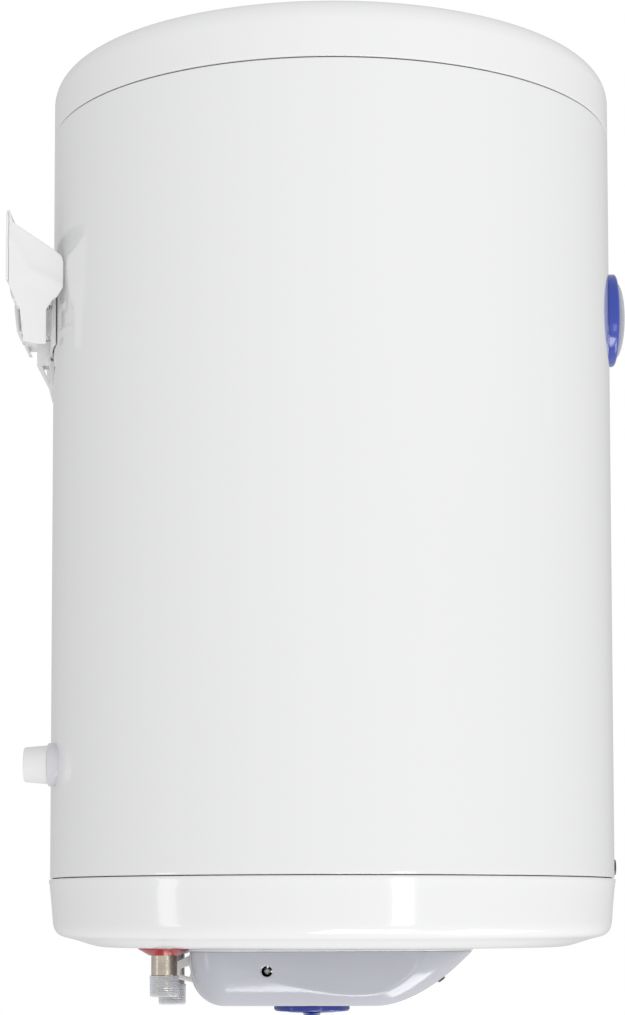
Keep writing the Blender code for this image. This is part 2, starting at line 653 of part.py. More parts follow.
def build_thermometer():
    ring_face = 0.2354
    ring_profile = [(0.0380, 0.2325), (0.0366, 0.2346), (0.0345, ring_face), (0.0319, ring_face - 0.0004),
                    (0.0319, 0.2332), (0.0285, 0.2332), (0.0285, 0.2250), (0.0380, 0.2250)]
    ring = add("thermometer_ring", facing(ring_profile), plastic("ring", (0.08, 0.13, 0.38), 0.22))
    cut(ring, "ring_seat", turned([(shell_radius + gap, 0.55), (0, 0.55), (0, 0.38), (shell_radius + gap, 0.38)],
                                  place(0, 0, 0)))
    add("thermometer_case", facing([(0.0280, 0.2311), (0.0266, 0.2311), (0.0266, 0.2135), (0, 0.2135),
                                    (0, 0.2125), (0.0280, 0.2125)]), metal("case", (0.70, 0.70, 0.70), 0.4))
    add("thermometer_dial", facing([(0.0262, 0.2305), (0.0012, 0.2305), (0.0012, 0.2295), (0.0262, 0.2295)]),
        plastic("dial", (0.85, 0.85, 0.85), 0.6))
    lens = [(0.0316, 0.2335), (0.0316, 0.2352), (0.0240, 0.2398), (0.0120, 0.2420), (0, 0.2427), (0, 0.2413),
            (0.0120, 0.2406), (0.0233, 0.2385), (0.0292, 0.2335)]
    add("thermometer_lens", facing(lens), finish_of("lens_glass", (0.80, 0.82, 0.86), 0.05, 0.0, 0.35))
    needle_low, needle_high = 0.2313, 0.2318
    lean = radians(-120)
    line = [(-0.0010, -0.0060), (0.0010, -0.0060), (0.0014, 0.0), (0.0004, 0.0215), (-0.0004, 0.0215), (-0.0014, 0.0)]
    outline = [(x * cos(lean) + up * sin(lean), gauge_up - x * sin(lean) + up * cos(lean)) for x, up in line]
    needle = add("thermometer_needle", panel(outline, needle_low, needle_high), plastic("needle", (0.55, 0.05, 0.04)))
    union(needle, "needle_hub", crosswise(0, gauge_up, needle_low - 0.0003, needle_high + 0.0005, 0.0026, 16))
    union(needle, "needle_shaft", crosswise(0, gauge_up, 0.2145, needle_high, 0.0008, 12))
    add("thermometer_stem", crosswise(0, gauge_up, 0.1950, 0.2121, 0.0030, 16), metal("brass", (0.80, 0.62, 0.30), 0.3))


# Wall bracket and spacer ------------------------------------------------------------------------------------------

bracket_half = 0.0885
wing_inner, wing_outer = 0.0860, 0.0880
plate_back = -(shell_radius + wall_distance)
plate_face = plate_back + 0.0020
hook_slot = (0.0430, 0.0540)


def build_wall_plate():
    """Plate with downward fingers on both sides of two open hook slots."""
    low, high, tip = 0.4760, 0.5335, 0.4640
    slot_in, slot_out = hook_slot
    slot_top = 0.4870
    finger_in, finger_out = 0.0340, 0.0640
    right = [(finger_in, low), (finger_in, tip + 0.003), (finger_in + 0.003, tip), (slot_in - 0.003, tip),
             (slot_in, tip + 0.003), (slot_in, slot_top - 0.004), (slot_in + 0.004, slot_top),
             (slot_out - 0.004, slot_top), (slot_out, slot_top - 0.004), (slot_out, tip + 0.003),
             (slot_out + 0.003, tip), (finger_out - 0.003, tip), (finger_out, tip + 0.003), (finger_out, low),
             (bracket_half, low), (bracket_half, high - 0.006), (bracket_half - 0.006, high)]
    outline = right + [(-x, up) for x, up in reversed(right)]
    add("bracket_wall_plate", panel(outline, plate_back, plate_face), enamel("bracket"))


def build_wings():
    outline = [(-0.2567, 0.5335), (-0.2536, 0.5226), (-0.2205, 0.5000), (-0.2144, 0.4949), (-0.2132, 0.4898),
               (-0.2132, 0.4690), (-0.2182, 0.4617), (-0.2216, 0.4595), (-0.2266, 0.4522), (-0.2268, 0.4241),
               (-0.2338, 0.4241), (-0.2450, 0.4264), (-0.2467, 0.4520), (-0.2501, 0.4556), (-0.2567, 0.4725)]
    for name, x_low, x_high in (("left", -wing_outer, -wing_inner), ("right", wing_inner, wing_outer)):
        add("bracket_wing_" + name, sheet(outline, x_low, x_high), enamel("bracket"))


def build_lower_web():
    """Cross plate between the wings, with two tongues that rise to the wall plane."""
    span = wing_inner - gap
    narrow = 0.034
    plan = [(span, -0.2330), (span, -0.2445), (narrow, -0.2445), (narrow, -0.2545),
            (-narrow, -0.2545), (-narrow, -0.2445), (-span, -0.2445), (-span, -0.2330)]
    web = add("bracket_lower_web", slab(plan, 0.4450, 0.4470), enamel("bracket"))
    rise = [(-0.2515, 0.4400), (-0.2540, 0.4400), (-0.2569, 0.4470), (-0.2589, 0.4640), (-0.2589, 0.4700),
            (-0.2567, 0.4700), (-0.2548, 0.4480)]
    for name, x_low, x_high in (("left", -0.032, -0.014), ("right", 0.014, 0.032)):
        union(web, "tongue_" + name, sheet(rise, x_low, x_high))


def build_foot():
    """Central strut under the web; its legs close on the shell."""
    outline = [(-0.2429, 0.4446), (-0.2431, 0.4238), (-0.2331, 0.4045), (-0.2304, 0.3940), (-0.2295, 0.3940),
               (-0.2295, 0.4270), (-0.2318, 0.4284), (-0.2318, 0.4446)]
    foot = add("bracket_foot", sheet(outline, -0.008, 0.008), enamel("bracket"))
    cut(foot, "foot_window", sheet([(-0.2390, 0.4240), (-0.2330, 0.4240), (-0.2312, 0.4090), (-0.2325, 0.4090)],
                                   -0.02, 0.02))


def build_saddle():
    """Curved plate that hugs the shell behind the cross web."""
    inner, outer = shell_radius + 0.0006, shell_radius + 0.0026
    spread = 15
    side = arc((0, 0), inner, -90 - spread, -90 + spread, 8)
    far = arc((0, 0), outer, -90 + spread, -90 - spread, 8)
    saddle = add("bracket_saddle", slab(side + far, 0.4300, 0.4990), enamel("bracket"))
    holes(saddle, "saddle_holes", [crosswise(x, saddle_bolt_up, -0.24, -0.21, 0.0046, 16) for x in saddle_bolt_x])
    seat = sqrt(outer ** 2 - (saddle_bolt_x[1] - 0.0068) ** 2) + gap
    bolt = [(0.0039, seat - 0.0370), (0.0039, seat), (0.0068, seat), (0.0068, seat + 0.0042), (0, seat + 0.0042),
            (0, seat - 0.0370)]
    for name, x in zip(("left", "right"), saddle_bolt_x):
        add("saddle_bolt_" + name, turned(bolt, place(x, 0, saddle_bolt_up), (0, 1, 0), steps=16),
            metal("fastener"))


def build_spacer():
    axis = place(spacer_x, 0, spacer_up)
    ring = turned([(0.0172, 0.2254), (0.0058, 0.2254), (0.0058, 0.2150), (0.0172, 0.2150)], axis, (0, 1, 0), steps=24)
    collar = add("spacer_collar", ring, plastic("collar", (0.72, 0.72, 0.74), 0.35))
    cut(collar, "collar_seat", turned([(shell_radius + gap, 0.13), (0, 0.13), (0, 0.05), (shell_radius + gap, 0.05)],
                                      place(0, 0, 0)))
    stub = [(0.0155, 0.2257), (0.0137, 0.2439), (0.0131, 0.2445), (0, 0.2445), (0, 0.2432), (0.0054, 0.2432),
            (0.0054, 0.2257)]
    add("wall_spacer", turned(stub, axis, (0, 1, 0), steps=24), plastic("spacer", (0.80, 0.80, 0.80), 0.4))
    add("spacer_stud", crosswise(spacer_x, spacer_up, -0.2430, -0.1870, 0.0050, 16), metal("fastener"))


build_shell()
build_top_cap()
build_bottom_cap()
build_tank()
build_foam()
build_front_plug()
build_flange()
build_heating()
build_pipes()
build_cover()
build_cable_guide()
build_controls()
build_thermometer()
build_wall_plate()
build_wings()
build_lower_web()
build_foot()
build_saddle()
build_spacer()
bpy.context.view_layer.update()
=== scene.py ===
import bmesh
import bpy
from math import cos, pi, radians, sin, sqrt
from mathutils import Matrix, Vector


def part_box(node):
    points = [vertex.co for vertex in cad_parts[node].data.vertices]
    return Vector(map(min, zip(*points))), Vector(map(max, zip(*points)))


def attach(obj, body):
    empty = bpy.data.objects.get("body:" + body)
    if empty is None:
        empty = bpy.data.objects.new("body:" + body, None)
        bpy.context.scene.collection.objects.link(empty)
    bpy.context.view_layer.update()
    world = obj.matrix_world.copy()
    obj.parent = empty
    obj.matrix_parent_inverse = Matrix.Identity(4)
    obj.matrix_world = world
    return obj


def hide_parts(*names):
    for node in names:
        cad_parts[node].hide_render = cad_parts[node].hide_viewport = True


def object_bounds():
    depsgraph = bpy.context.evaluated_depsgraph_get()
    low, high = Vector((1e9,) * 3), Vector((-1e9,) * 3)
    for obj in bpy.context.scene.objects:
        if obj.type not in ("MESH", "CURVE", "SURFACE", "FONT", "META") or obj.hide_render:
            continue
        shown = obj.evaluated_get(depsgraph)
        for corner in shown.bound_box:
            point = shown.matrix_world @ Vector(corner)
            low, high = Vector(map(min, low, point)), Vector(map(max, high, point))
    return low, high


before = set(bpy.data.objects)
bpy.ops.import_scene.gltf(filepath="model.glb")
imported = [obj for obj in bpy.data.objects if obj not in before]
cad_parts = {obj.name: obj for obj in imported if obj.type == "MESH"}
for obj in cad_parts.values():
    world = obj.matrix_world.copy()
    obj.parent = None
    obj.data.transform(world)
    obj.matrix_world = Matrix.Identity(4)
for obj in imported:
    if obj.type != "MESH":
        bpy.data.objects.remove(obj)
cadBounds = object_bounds()

# A wall-hung tank water heater. Places are (x, front, up): front counts forwards from the tank's axis
# and up counts from the seam between the jacket and the bottom cap, all in metres.

shellLow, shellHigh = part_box("outer_shell")
axisY = (shellLow.y + shellHigh.y) / 2
shellRadius = (shellHigh.x - shellLow.x) / 2
seamUp = shellLow.z - 0.0003
shellTop = shellHigh.z + 0.0003 - seamUp
root = "heater"


def spot(x, front, up):
    return Vector((x, axisY - front, seamUp + up))


def nodeBox(node):
    low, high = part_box(node)
    return {"x": (low.x, high.x), "front": (axisY - high.y, axisY - low.y),
            "up": (low.z - seamUp, high.z - seamUp)}


def middleOf(node):
    # the centre of a CAD node as (x, front, up)
    return tuple(sum(span) / 2 for span in nodeBox(node).values())


# numbers and nodes -----


class Num:
    # a number, colour or shape on its way through a node tree
    def __init__(self, kit, node, output=0):
        self.kit = kit
        self.node = node
        self.socket = node.outputs[output]

    def out(self, name):
        return Num(self.kit, self.node, name)

    def compute(self, operation, *others):
        return self.kit.add("ShaderNodeMath", {"operation": operation}, dict(enumerate(others)))

    def __add__(self, other):
        return self.compute("ADD", self, other)

    def __radd__(self, other):
        return self.compute("ADD", other, self)

    def __sub__(self, other):
        return self.compute("SUBTRACT", self, other)

    def __rsub__(self, other):
        return self.compute("SUBTRACT", other, self)

    def __mul__(self, other):
        return self.compute("MULTIPLY", self, other)

    def __rmul__(self, other):
        return self.compute("MULTIPLY", other, self)

    def __truediv__(self, other):
        return self.compute("DIVIDE", self, other)

    def __rtruediv__(self, other):
        return self.compute("DIVIDE", other, self)

    def sine(self):
        return self.compute("SINE", self)

    def cosine(self):
        return self.compute("COSINE", self)


class Kit:
    def __init__(self, tree):
        self.tree = tree

    def add(self, kind, settings=None, sockets=None, output=0):
        node = self.tree.nodes.new(kind)
        for key, value in (settings or {}).items():
            setattr(node, key, value)
        for key, value in (sockets or {}).items():
            if isinstance(value, Num):
                self.tree.links.new(value.socket, node.inputs[key])
            else:
                node.inputs[key].default_value = value
        return Num(self, node, output)


# finishes -----


def rgb(color):
    return (*color[:3], 1.0)


def shade(color, factor):
    return tuple(min(1.0, c * factor) for c in color)


class Finish(Kit):
    # a Principled material with what varies over the surface wired in
    def __init__(self, name, fixed):
        self.material = bpy.data.materials.new(name)
        self.material.use_nodes = True
        super().__init__(self.material.node_tree)
        self.shader = self.tree.nodes["Principled BSDF"]
        for key, value in fixed.items():
            self.shader.inputs[key].default_value = value
        self.place = self.add("ShaderNodeTexCoord", output="Object")

    def noise(self, scale, detail=3.0, rough=0.5, stretch=None, where=None):
        place = where or self.place
        if stretch:
            place = self.add("ShaderNodeMapping", {}, {"Vector": place, "Scale": stretch})
        return self.add("ShaderNodeTexNoise", {}, {"Vector": place, "Scale": scale, "Detail": detail,
                                                   "Roughness": rough})

    def cells(self, scale, feature="F1"):
        return self.add("ShaderNodeTexVoronoi", {"feature": feature}, {"Vector": self.place, "Scale": scale})

    def blend(self, factor, first, second):
        sockets = {0: factor, 6: first, 7: second}
        return self.add("ShaderNodeMix", {"data_type": "RGBA"}, sockets, 2)

    def ramp(self, value, low, high):
        return self.add("ShaderNodeMapRange", {}, {"Value": value, "From Min": low, "From Max": high})

    def bump(self, height, distance, strength=1.0):
        return self.add("ShaderNodeBump", {}, {"Height": height, "Distance": distance, "Strength": strength})

    def wire(self, **sockets):
        names = {"color": "Base Color", "rough": "Roughness", "metal": "Metallic", "coat": "Coat Weight",
                 "alpha": "Alpha", "normal": "Normal", "glow": "Emission Color"}
        for key, value in sockets.items():
            self.tree.links.new(value.socket, self.shader.inputs[names[key]])
        return self.material


enamelLook = {
    "white_enamel": {"color": (0.8, 0.803, 0.806), "rough": 0.1, "peel": 0.00001, "coat": 0.9},
    "white_cap": {"color": (0.815, 0.817, 0.818), "rough": 0.15, "peel": 0.000014, "coat": 0.6},
    "bracket_enamel": {"color": (0.83, 0.83, 0.832), "rough": 0.2, "peel": 0.00003, "coat": 0.5},
}

plasticLook = {
    "spacer_white": {"color": (0.8, 0.8, 0.8), "rough": 0.34, "grain": 0.00002},
    "guide_white": {"color": (0.8, 0.8, 0.79), "rough": 0.36, "grain": 0.00002},
    "collar": {"color": (0.66, 0.66, 0.69), "rough": 0.3, "grain": 0.000015},
    "cover_grey": {"color": (0.47, 0.478, 0.525), "rough": 0.2, "grain": 0.000012},
    "hot_red": {"color": (0.38, 0.004, 0.014), "rough": 0.24, "grain": 0.00001},
    "cold_blue": {"color": (0.03, 0.07, 0.4), "rough": 0.24, "grain": 0.00001},
    "knob_blue": {"color": (0.014, 0.034, 0.3), "rough": 0.17, "grain": 0.000008},
    "gauge_ring": {"color": (0.024, 0.056, 0.4), "rough": 0.16, "grain": 0.000008},
    "lamp": {"color": (0.05, 0.012, 0.011), "rough": 0.12, "grain": 0.000006},
    "plug_black": {"color": (0.045, 0.045, 0.05), "rough": 0.38, "grain": 0.00002},
    "dip_tube": {"color": (0.72, 0.72, 0.66), "rough": 0.45, "grain": 0.00002},
    "switchgear": {"color": (0.66, 0.63, 0.54), "rough": 0.42, "grain": 0.00002},
    "reset_red": {"color": (0.58, 0.045, 0.036), "rough": 0.36, "grain": 0.000015},
    "terminal": {"color": (0.78, 0.78, 0.76), "rough": 0.42, "grain": 0.000015},
    "lead_brown": {"color": (0.17, 0.08, 0.035), "rough": 0.4, "grain": 0.000015},
    "lead_blue": {"color": (0.04, 0.09, 0.34), "rough": 0.4, "grain": 0.000015},
    "needle_red": {"color": (0.58, 0.04, 0.03), "rough": 0.35, "grain": 0.000008},
    "gasket": {"color": (0.035, 0.035, 0.036), "rough": 0.7, "grain": 0.00006},
}

metalLook = {
    "nickel": {"color": (0.6, 0.545, 0.47), "rough": 0.22, "lines": 5200.0, "stain": (0.33, 0.26, 0.19)},
    "flange_steel": {"color": (0.56, 0.57, 0.585), "rough": 0.36, "lines": 1400.0, "stain": (0.42, 0.41, 0.38)},
    "fastener": {"color": (0.62, 0.62, 0.605), "rough": 0.28, "lines": 2600.0, "stain": (0.46, 0.44, 0.36)},
    "copper": {"color": (0.72, 0.43, 0.29), "rough": 0.3, "lines": 1800.0, "stain": (0.38, 0.2, 0.13)},
    "anode": {"color": (0.58, 0.58, 0.56), "rough": 0.58, "lines": 900.0, "stain": (0.42, 0.42, 0.4)},
    "brass": {"color": (0.78, 0.59, 0.27), "rough": 0.27, "lines": 2400.0, "stain": (0.5, 0.34, 0.14)},
    "gauge_case": {"color": (0.7, 0.7, 0.7), "rough": 0.33, "lines": 2200.0, "stain": (0.55, 0.55, 0.54)},
}


def enamelFinish(name, color, rough, peel, coat):
    look = Finish(name, {"Coat Roughness": 0.04, "Coat IOR": 1.5, "IOR": 1.46})
    cloud = look.noise(2.3, 2.0)
    haze = look.noise(21.0, 3.0)
    skin = look.noise(820.0, 2.0)
    dust = look.ramp(look.noise(1900.0, 1.0), 0.7, 0.78)
    tint = look.blend(cloud, rgb(shade(color, 0.985)), rgb(shade(color, 1.012)))
    tint = look.blend(dust * 0.05, tint, rgb(shade(color, 0.62)))
    return look.wire(color=tint, rough=rough + (haze - 0.5) * 0.05, coat=coat - haze * 0.08,
                     normal=look.bump(skin * 0.12 + haze * 2.2, peel * 4))


def plasticFinish(name, color, rough, grain):
    look = Finish(name, {"IOR": 1.48, "Coat Roughness": 0.1})
    flow = look.noise(38.0, 3.0, stretch=(1.0, 0.6, 1.8))
    pores = look.noise(5200.0, 2.0)
    rubbed = look.ramp(look.noise(160.0, 4.0, 0.65), 0.58, 0.72)
    tint = look.blend(flow, rgb(shade(color, 0.965)), rgb(shade(color, 1.035)))
    tint = look.blend(rubbed * 0.035, tint, rgb([c * 0.85 + 0.11 for c in color]))
    return look.wire(color=tint, rough=rough + rubbed * 0.07 + (pores - 0.5) * 0.06, coat=0.2 - rubbed * 0.1,
                     normal=look.bump(pores * 0.1 + flow * 1.2, grain * 3))


def metalFinish(name, color, rough, lines, stain):
    look = Finish(name, {"Anisotropic": 0.3})
    turning = look.noise(lines, 2.0, stretch=(0.03, 0.03, 1.0))
    patch = look.ramp(look.noise(95.0, 4.0, 0.6), 0.45, 0.75)
    specks = look.ramp(look.noise(1500.0, 2.0), 0.66, 0.74)
    tint = look.blend(patch * 0.45 + turning * 0.2, rgb(color), rgb(stain))
    tint = look.blend(specks * 0.35, tint, rgb(shade(stain, 0.7)))
    return look.wire(color=tint, metal=1.0 - specks * 0.4, rough=rough + patch * 0.14 + (turning - 0.5) * 0.12,
                     normal=look.bump(turning + patch * 0.3, 0.00003))


def foamFinish():
    look = Finish("foam", {})
    cells = look.cells(420.0)
    crust = look.noise(26.0, 4.0)
    tint = look.blend(crust, rgb((0.7, 0.53, 0.24)), rgb((0.84, 0.71, 0.4)))
    tint = look.blend(look.ramp(cells, 0.0, 0.35), rgb((0.55, 0.39, 0.15)), tint)
    return look.wire(color=tint, rough=0.82 + crust * 0.14, normal=look.bump(cells, 0.0006))


def glazeFinish():
    look = Finish("tank_glaze", {"Coat Roughness": 0.08})
    ripple = look.noise(46.0, 3.0)
    fleck = look.ramp(look.noise(1300.0, 1.0), 0.62, 0.7)
    tint = look.blend(ripple, rgb((0.06, 0.095, 0.19)), rgb((0.125, 0.165, 0.29)))
    tint = look.blend(fleck * 0.6, tint, rgb((0.34, 0.38, 0.46)))
    return look.wire(color=tint, rough=0.16 + ripple * 0.12, coat=0.8 - fleck * 0.5,
                     normal=look.bump(ripple, 0.0004))


clearLook = {
    "gauge_lens": {"color": (0.5, 0.53, 0.62), "thin": 0.2, "edge": 0.75, "rough": 0.04},
    "thread_cap": {"color": (0.84, 0.87, 0.92), "thin": 0.3, "edge": 0.62, "rough": 0.1},
}


def clearFinish(name, color, thin, edge, rough):
    look = Finish(name, {"IOR": 1.47, "Specular IOR Level": 0.6, "Coat Roughness": 0.03})
    slant = look.add("ShaderNodeLayerWeight", {}, {"Blend": 0.35}, "Facing")
    smear = look.noise(120.0, 3.0)
    tint = look.blend(smear, rgb(shade(color, 0.94)), rgb(shade(color, 1.05)))
    return look.wire(color=tint, rough=rough + smear * 0.06, coat=0.7 - smear * 0.2,
                     alpha=thin + slant * edge, normal=look.bump(smear, 0.0001))


def dialFinish(name, color, rough):
    look = Finish(name, {"IOR": 1.45})
    speckle = look.noise(2600.0, 2.0)
    paper = look.noise(70.0, 2.0)
    tint = look.blend(paper, rgb(shade(color, 0.97)), rgb(color))
    return look.wire(color=tint, rough=rough + (speckle - 0.5) * 0.1, normal=look.bump(speckle, 0.00002))


finishes = {}
for makeFinish, looks in ((enamelFinish, enamelLook), (plasticFinish, plasticLook), (metalFinish, metalLook),
                          (clearFinish, clearLook)):
    for slotName, values in looks.items():
        finishes[slotName] = makeFinish(slotName, **values)
finishes["foam"] = foamFinish()
finishes["tank_glaze"] = glazeFinish()
finishes["gauge_dial"] = dialFinish("gauge_dial", (0.86, 0.86, 0.85), 0.5)
dialInk = dialFinish("dial_ink", (0.03, 0.03, 0.035), 0.45)
print("finishes:", len(finishes))


# meshes -----


def newPiece(name, mesh, slotName, body=root, replaced=(), sharp=32, finish=None):
    # the last step of every piece: smooth faces, a finish, a body to ride on
    mesh.name = name
    mesh.materials.clear()
    mesh.materials.append(finish or finishes[slotName])
    mesh.shade_smooth()
    mesh.set_sharp_from_angle(angle=radians(sharp))
    piece = bpy.data.objects.new(name, mesh)
    bpy.context.scene.collection.objects.link(piece)
    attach(piece, body)
    if replaced:
        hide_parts(*replaced)
    return piece


def closeUp(bm, merge=1e-6):
    bmesh.ops.remove_doubles(bm, verts=bm.verts, dist=merge)
    bmesh.ops.dissolve_degenerate(bm, edges=bm.edges, dist=merge)
    bmesh.ops.recalc_face_normals(bm, faces=bm.faces)
    return bm


def bridged(bm, rings, wrap):
    # walls between neighbouring rings of points, round the whole ring when wrap is set
    count = len(rings[0])
    for a, b in zip(rings, rings[1:]):
        for i in range(count if wrap else count - 1):
            j = (i + 1) % count
            bm.faces.new((a[i], a[j], b[j], b[i]))


def meshOf(bm):
    mesh = bpy.data.meshes.new("mesh")
    bm.to_mesh(mesh)
    bm.free()
    return mesh


def bmeshOf(mesh):
    bm = bmesh.new()
    bm.from_mesh(mesh)
    return bm


def evaluated(mesh, modifiers):
    # runs modifiers on a mesh, given as (type, settings), and returns the plain result
    holder = bpy.data.objects.new("holder", mesh)
    bpy.context.scene.collection.objects.link(holder)
    for kind, settings in modifiers:
        change = holder.modifiers.new(kind.lower(), kind)
        for key, value in settings.items():
            if isinstance(key, tuple):
                change[key[0]] = value
            else:
                setattr(change, key, value)
    graph = bpy.context.evaluated_depsgraph_get()
    result = bpy.data.meshes.new_from_object(holder.evaluated_get(graph))
    bpy.data.objects.remove(holder)
    return result


def arc(centre, radius, start, stop, steps):
    angles = [radians(start + (stop - start) * i / steps) for i in range(steps + 1)]
    return [(centre[0] + radius * cos(a), centre[1] + radius * sin(a)) for a in angles]


def bezier(a, b, c, d, steps):
    points = []
    for i in range(steps + 1):
        t = i / steps
        weights = ((1 - t) ** 3, 3 * t * (1 - t) ** 2, 3 * t * t * (1 - t), t ** 3)
        points.append(tuple(sum(w * p[k] for w, p in zip(weights, (a, b, c, d))) for k in (0, 1)))
    return points


def rounded(outline, radius, steps=4):
    # a closed outline with each corner turned into a short arc-like curve
    points = []
    for before, here, after in zip(outline[-1:] + outline[:-1], outline, outline[1:] + outline[:1]):
        here = Vector(here)
        back, on = Vector(before) - here, Vector(after) - here
        reach = min(radius, back.length * 0.45, on.length * 0.45)
        start, stop = here + back.normalized() * reach, here + on.normalized() * reach
        for i in range(steps + 1):
            t = i / steps
            points.append(tuple(start * (1 - t) ** 2 + here * 2 * t * (1 - t) + stop * t * t))
    return points


def geometryTree(name, inputs):
    tree = bpy.data.node_groups.new(name, "GeometryNodeTree")
    tree.interface.new_socket("Geometry", in_out="INPUT", socket_type="NodeSocketGeometry")
    tree.interface.new_socket("Geometry", in_out="OUTPUT", socket_type="NodeSocketGeometry")
    for label, kind in inputs.items():
        tree.interface.new_socket(label, in_out="INPUT", socket_type="NodeSocket" + kind)
    kit = Kit(tree)
    return kit, kit.add("NodeGroupInput")


def endTree(kit, given, shape):
    whole = kit.add("GeometryNodeRealizeInstances", {}, {0: shape})
    dressed = kit.add("GeometryNodeSetMaterial", {}, {"Geometry": whole, "Material": given.out("Finish")})
    kit.tree.links.new(dressed.socket, kit.tree.nodes.new("NodeGroupOutput").inputs[0])
    return kit.tree


def runTree(tree, mesh, values):
    # a modifier's inputs go in by each socket's identifier before the first evaluation
    settings = {"node_group": tree}
    for item in tree.interface.items_tree:
        if item.in_out == "INPUT" and item.name in values:
            settings[(item.identifier,)] = values[item.name]
    return evaluated(mesh, [("NODES", settings)])


def lineMesh(points, closed):
    mesh = bpy.data.meshes.new("line")
    count = len(points)
    edges = [(i, i + 1) for i in range(count - 1)] + ([(count - 1, 0)] if closed else [])
    mesh.from_pydata([(*p, 0) for p in points], edges, [])
    return mesh


def makeTurnedTree():
    # carries an outline of (radius, height) round a circle
    kit, given = geometryTree("turnedOutline", {"Steps": "Int", "Hub": "Float", "Finish": "Material"})
    outline = kit.add("GeometryNodeMeshToCurve", {}, {0: given})
    path = kit.add("GeometryNodeCurvePrimitiveCircle", {}, {"Resolution": given.out("Steps"),
                                                            "Radius": given.out("Hub")})
    skin = kit.add("GeometryNodeCurveToMesh", {}, {0: path, "Profile Curve": outline})
    joined = kit.add("GeometryNodeMergeByDistance", {}, {0: skin, "Distance": 1e-6})
    return endTree(kit, given, joined)


def makeThreadTree():
    # a screw thread: a small four-sided section led along a spiral
    kit, given = geometryTree("screwThread", {"Radius": "Float", "Turns": "Float", "Length": "Float",
                                              "Depth": "Float", "Finish": "Material"})
    spiral = kit.add("GeometryNodeCurveSpiral", {}, {
        "Resolution": 28, "Rotations": given.out("Turns"), "Start Radius": given.out("Radius"),
        "End Radius": given.out("Radius"), "Height": given.out("Length")})
    section = kit.add("GeometryNodeCurvePrimitiveCircle", {}, {"Resolution": 4, "Radius": given.out("Depth")})
    ridge = kit.add("GeometryNodeCurveToMesh", {}, {0: spiral, "Profile Curve": section, "Fill Caps": True})
    both = kit.add("GeometryNodeJoinGeometry")
    kit.tree.links.new(given.socket, both.node.inputs[0])
    kit.tree.links.new(ridge.socket, both.node.inputs[0])
    return endTree(kit, given, both)


def makeRoundTree():
    # copies of one item stand round a circle from a start angle over a sweep
    kit, given = geometryTree("itemsInARing", {"Count": "Int", "Start": "Float", "Sweep": "Float",
                                               "Radius": "Float", "Finish": "Material"})
    index = kit.add("GeometryNodeInputIndex")
    angle = given.out("Start") + given.out("Sweep") * index / (given.out("Count") - 1.0)
    away = kit.add("ShaderNodeCombineXYZ", {}, {"X": angle.cosine() * given.out("Radius"),
                                                "Y": angle.sine() * given.out("Radius")})
    points = kit.add("GeometryNodePoints", {}, {"Count": given.out("Count"), "Position": away})
    turn = kit.add("ShaderNodeCombineXYZ", {}, {"Z": angle})
    wired = {"Points": points, "Instance": given, "Rotation": turn}
    copies = kit.add("GeometryNodeInstanceOnPoints", {}, wired)
    return endTree(kit, given, copies)


turnedTree = makeTurnedTree()
threadTree = makeThreadTree()
ringTree = makeRoundTree()


def turned(profile, slotName, steps=96, centre=(0, 0, 0), axis=(0, 0, 1), closed=True):
    # a turned body: outline of (radius, height) points about an axis through centre
    hub = 0.001
    outline = lineMesh([(radius - hub, -height) for radius, height in profile], closed)
    values = {"Steps": steps, "Hub": hub, "Finish": finishes[slotName]}
    bm = bmeshOf(runTree(turnedTree, outline, values))
    turn = Vector((0, 0, 1)).rotation_difference(Vector(axis)).to_matrix().to_4x4()
    bm.transform(Matrix.Translation(centre) @ turn)
    return meshOf(closeUp(bm, 2e-6))


def ringOf(item, count, start, sweep, radius, finish):
    values = {"Count": count, "Start": radians(start), "Sweep": radians(sweep), "Radius": radius,
              "Finish": finish}
    return runTree(ringTree, item, values)


def joined(*meshes):
    bm = bmesh.new()
    for mesh in meshes:
        bm.from_mesh(mesh)
    return meshOf(bm)


def moved(mesh, centre, axis=(0, 0, 1)):
    turn = Vector((0, 0, 1)).rotation_difference(Vector(axis)).to_matrix().to_4x4()
    mesh.transform(Matrix.Translation(centre) @ turn)
    return mesh


def oblong(long, wide):
    # a rectangle centred on the origin
    return [(-long, -wide), (long, -wide), (long, wide), (-long, wide)]


def prism(outline, low, high):
    # flat outline of (x, y) points given a thickness along z
    bm = bmesh.new()
    face = bm.faces.new([bm.verts.new((x, y, low)) for x, y in outline])
    grown = bmesh.ops.extrude_face_region(bm, geom=[face])
    lifted = [part for part in grown["geom"] if isinstance(part, bmesh.types.BMVert)]
    bmesh.ops.translate(bm, verts=lifted, vec=(0, 0, high - low))
    return meshOf(closeUp(bm))


def softened(node, width, segments=3, limit=30):
    # a CAD node's shape with its edges rounded
    bm = bmeshOf(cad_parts[node].data)
    bmesh.ops.remove_doubles(bm, verts=bm.verts, dist=2e-6)
    bmesh.ops.dissolve_limit(bm, angle_limit=radians(1.5), verts=bm.verts, edges=bm.edges)
    bevel = {"width": width, "segments": segments, "limit_method": "ANGLE", "angle_limit": radians(limit)}
    return evaluated(meshOf(bm), [("BEVEL", bevel)])


def cutAway(mesh, cutters):
    whole = joined(*cutters)
    tool = bpy.data.objects.new("tool", whole)
    bpy.context.scene.collection.objects.link(tool)
    tool.hide_render = True
    result = evaluated(mesh, [("BOOLEAN", {"operation": "DIFFERENCE", "solver": "EXACT", "object": tool})])
    bpy.data.objects.remove(tool)
    return result


# jacket and caps -----

jacket = {"steps": 224, "edge": 0.0009, "wall": 0.0009, "seamWidth": 0.0085, "seamRise": 0.0006,
          "clearance": 0.0004, "reach": 0.02}


def bore(radius, low, high, centre, axis=(0, 0, 1)):
    # a round cutter that reaches from low to high along its axis
    outline = [(0.0, low), (radius, low), (radius, high), (0.0, high)]
    return turned(outline, "white_enamel", 64, centre, axis, closed=False)


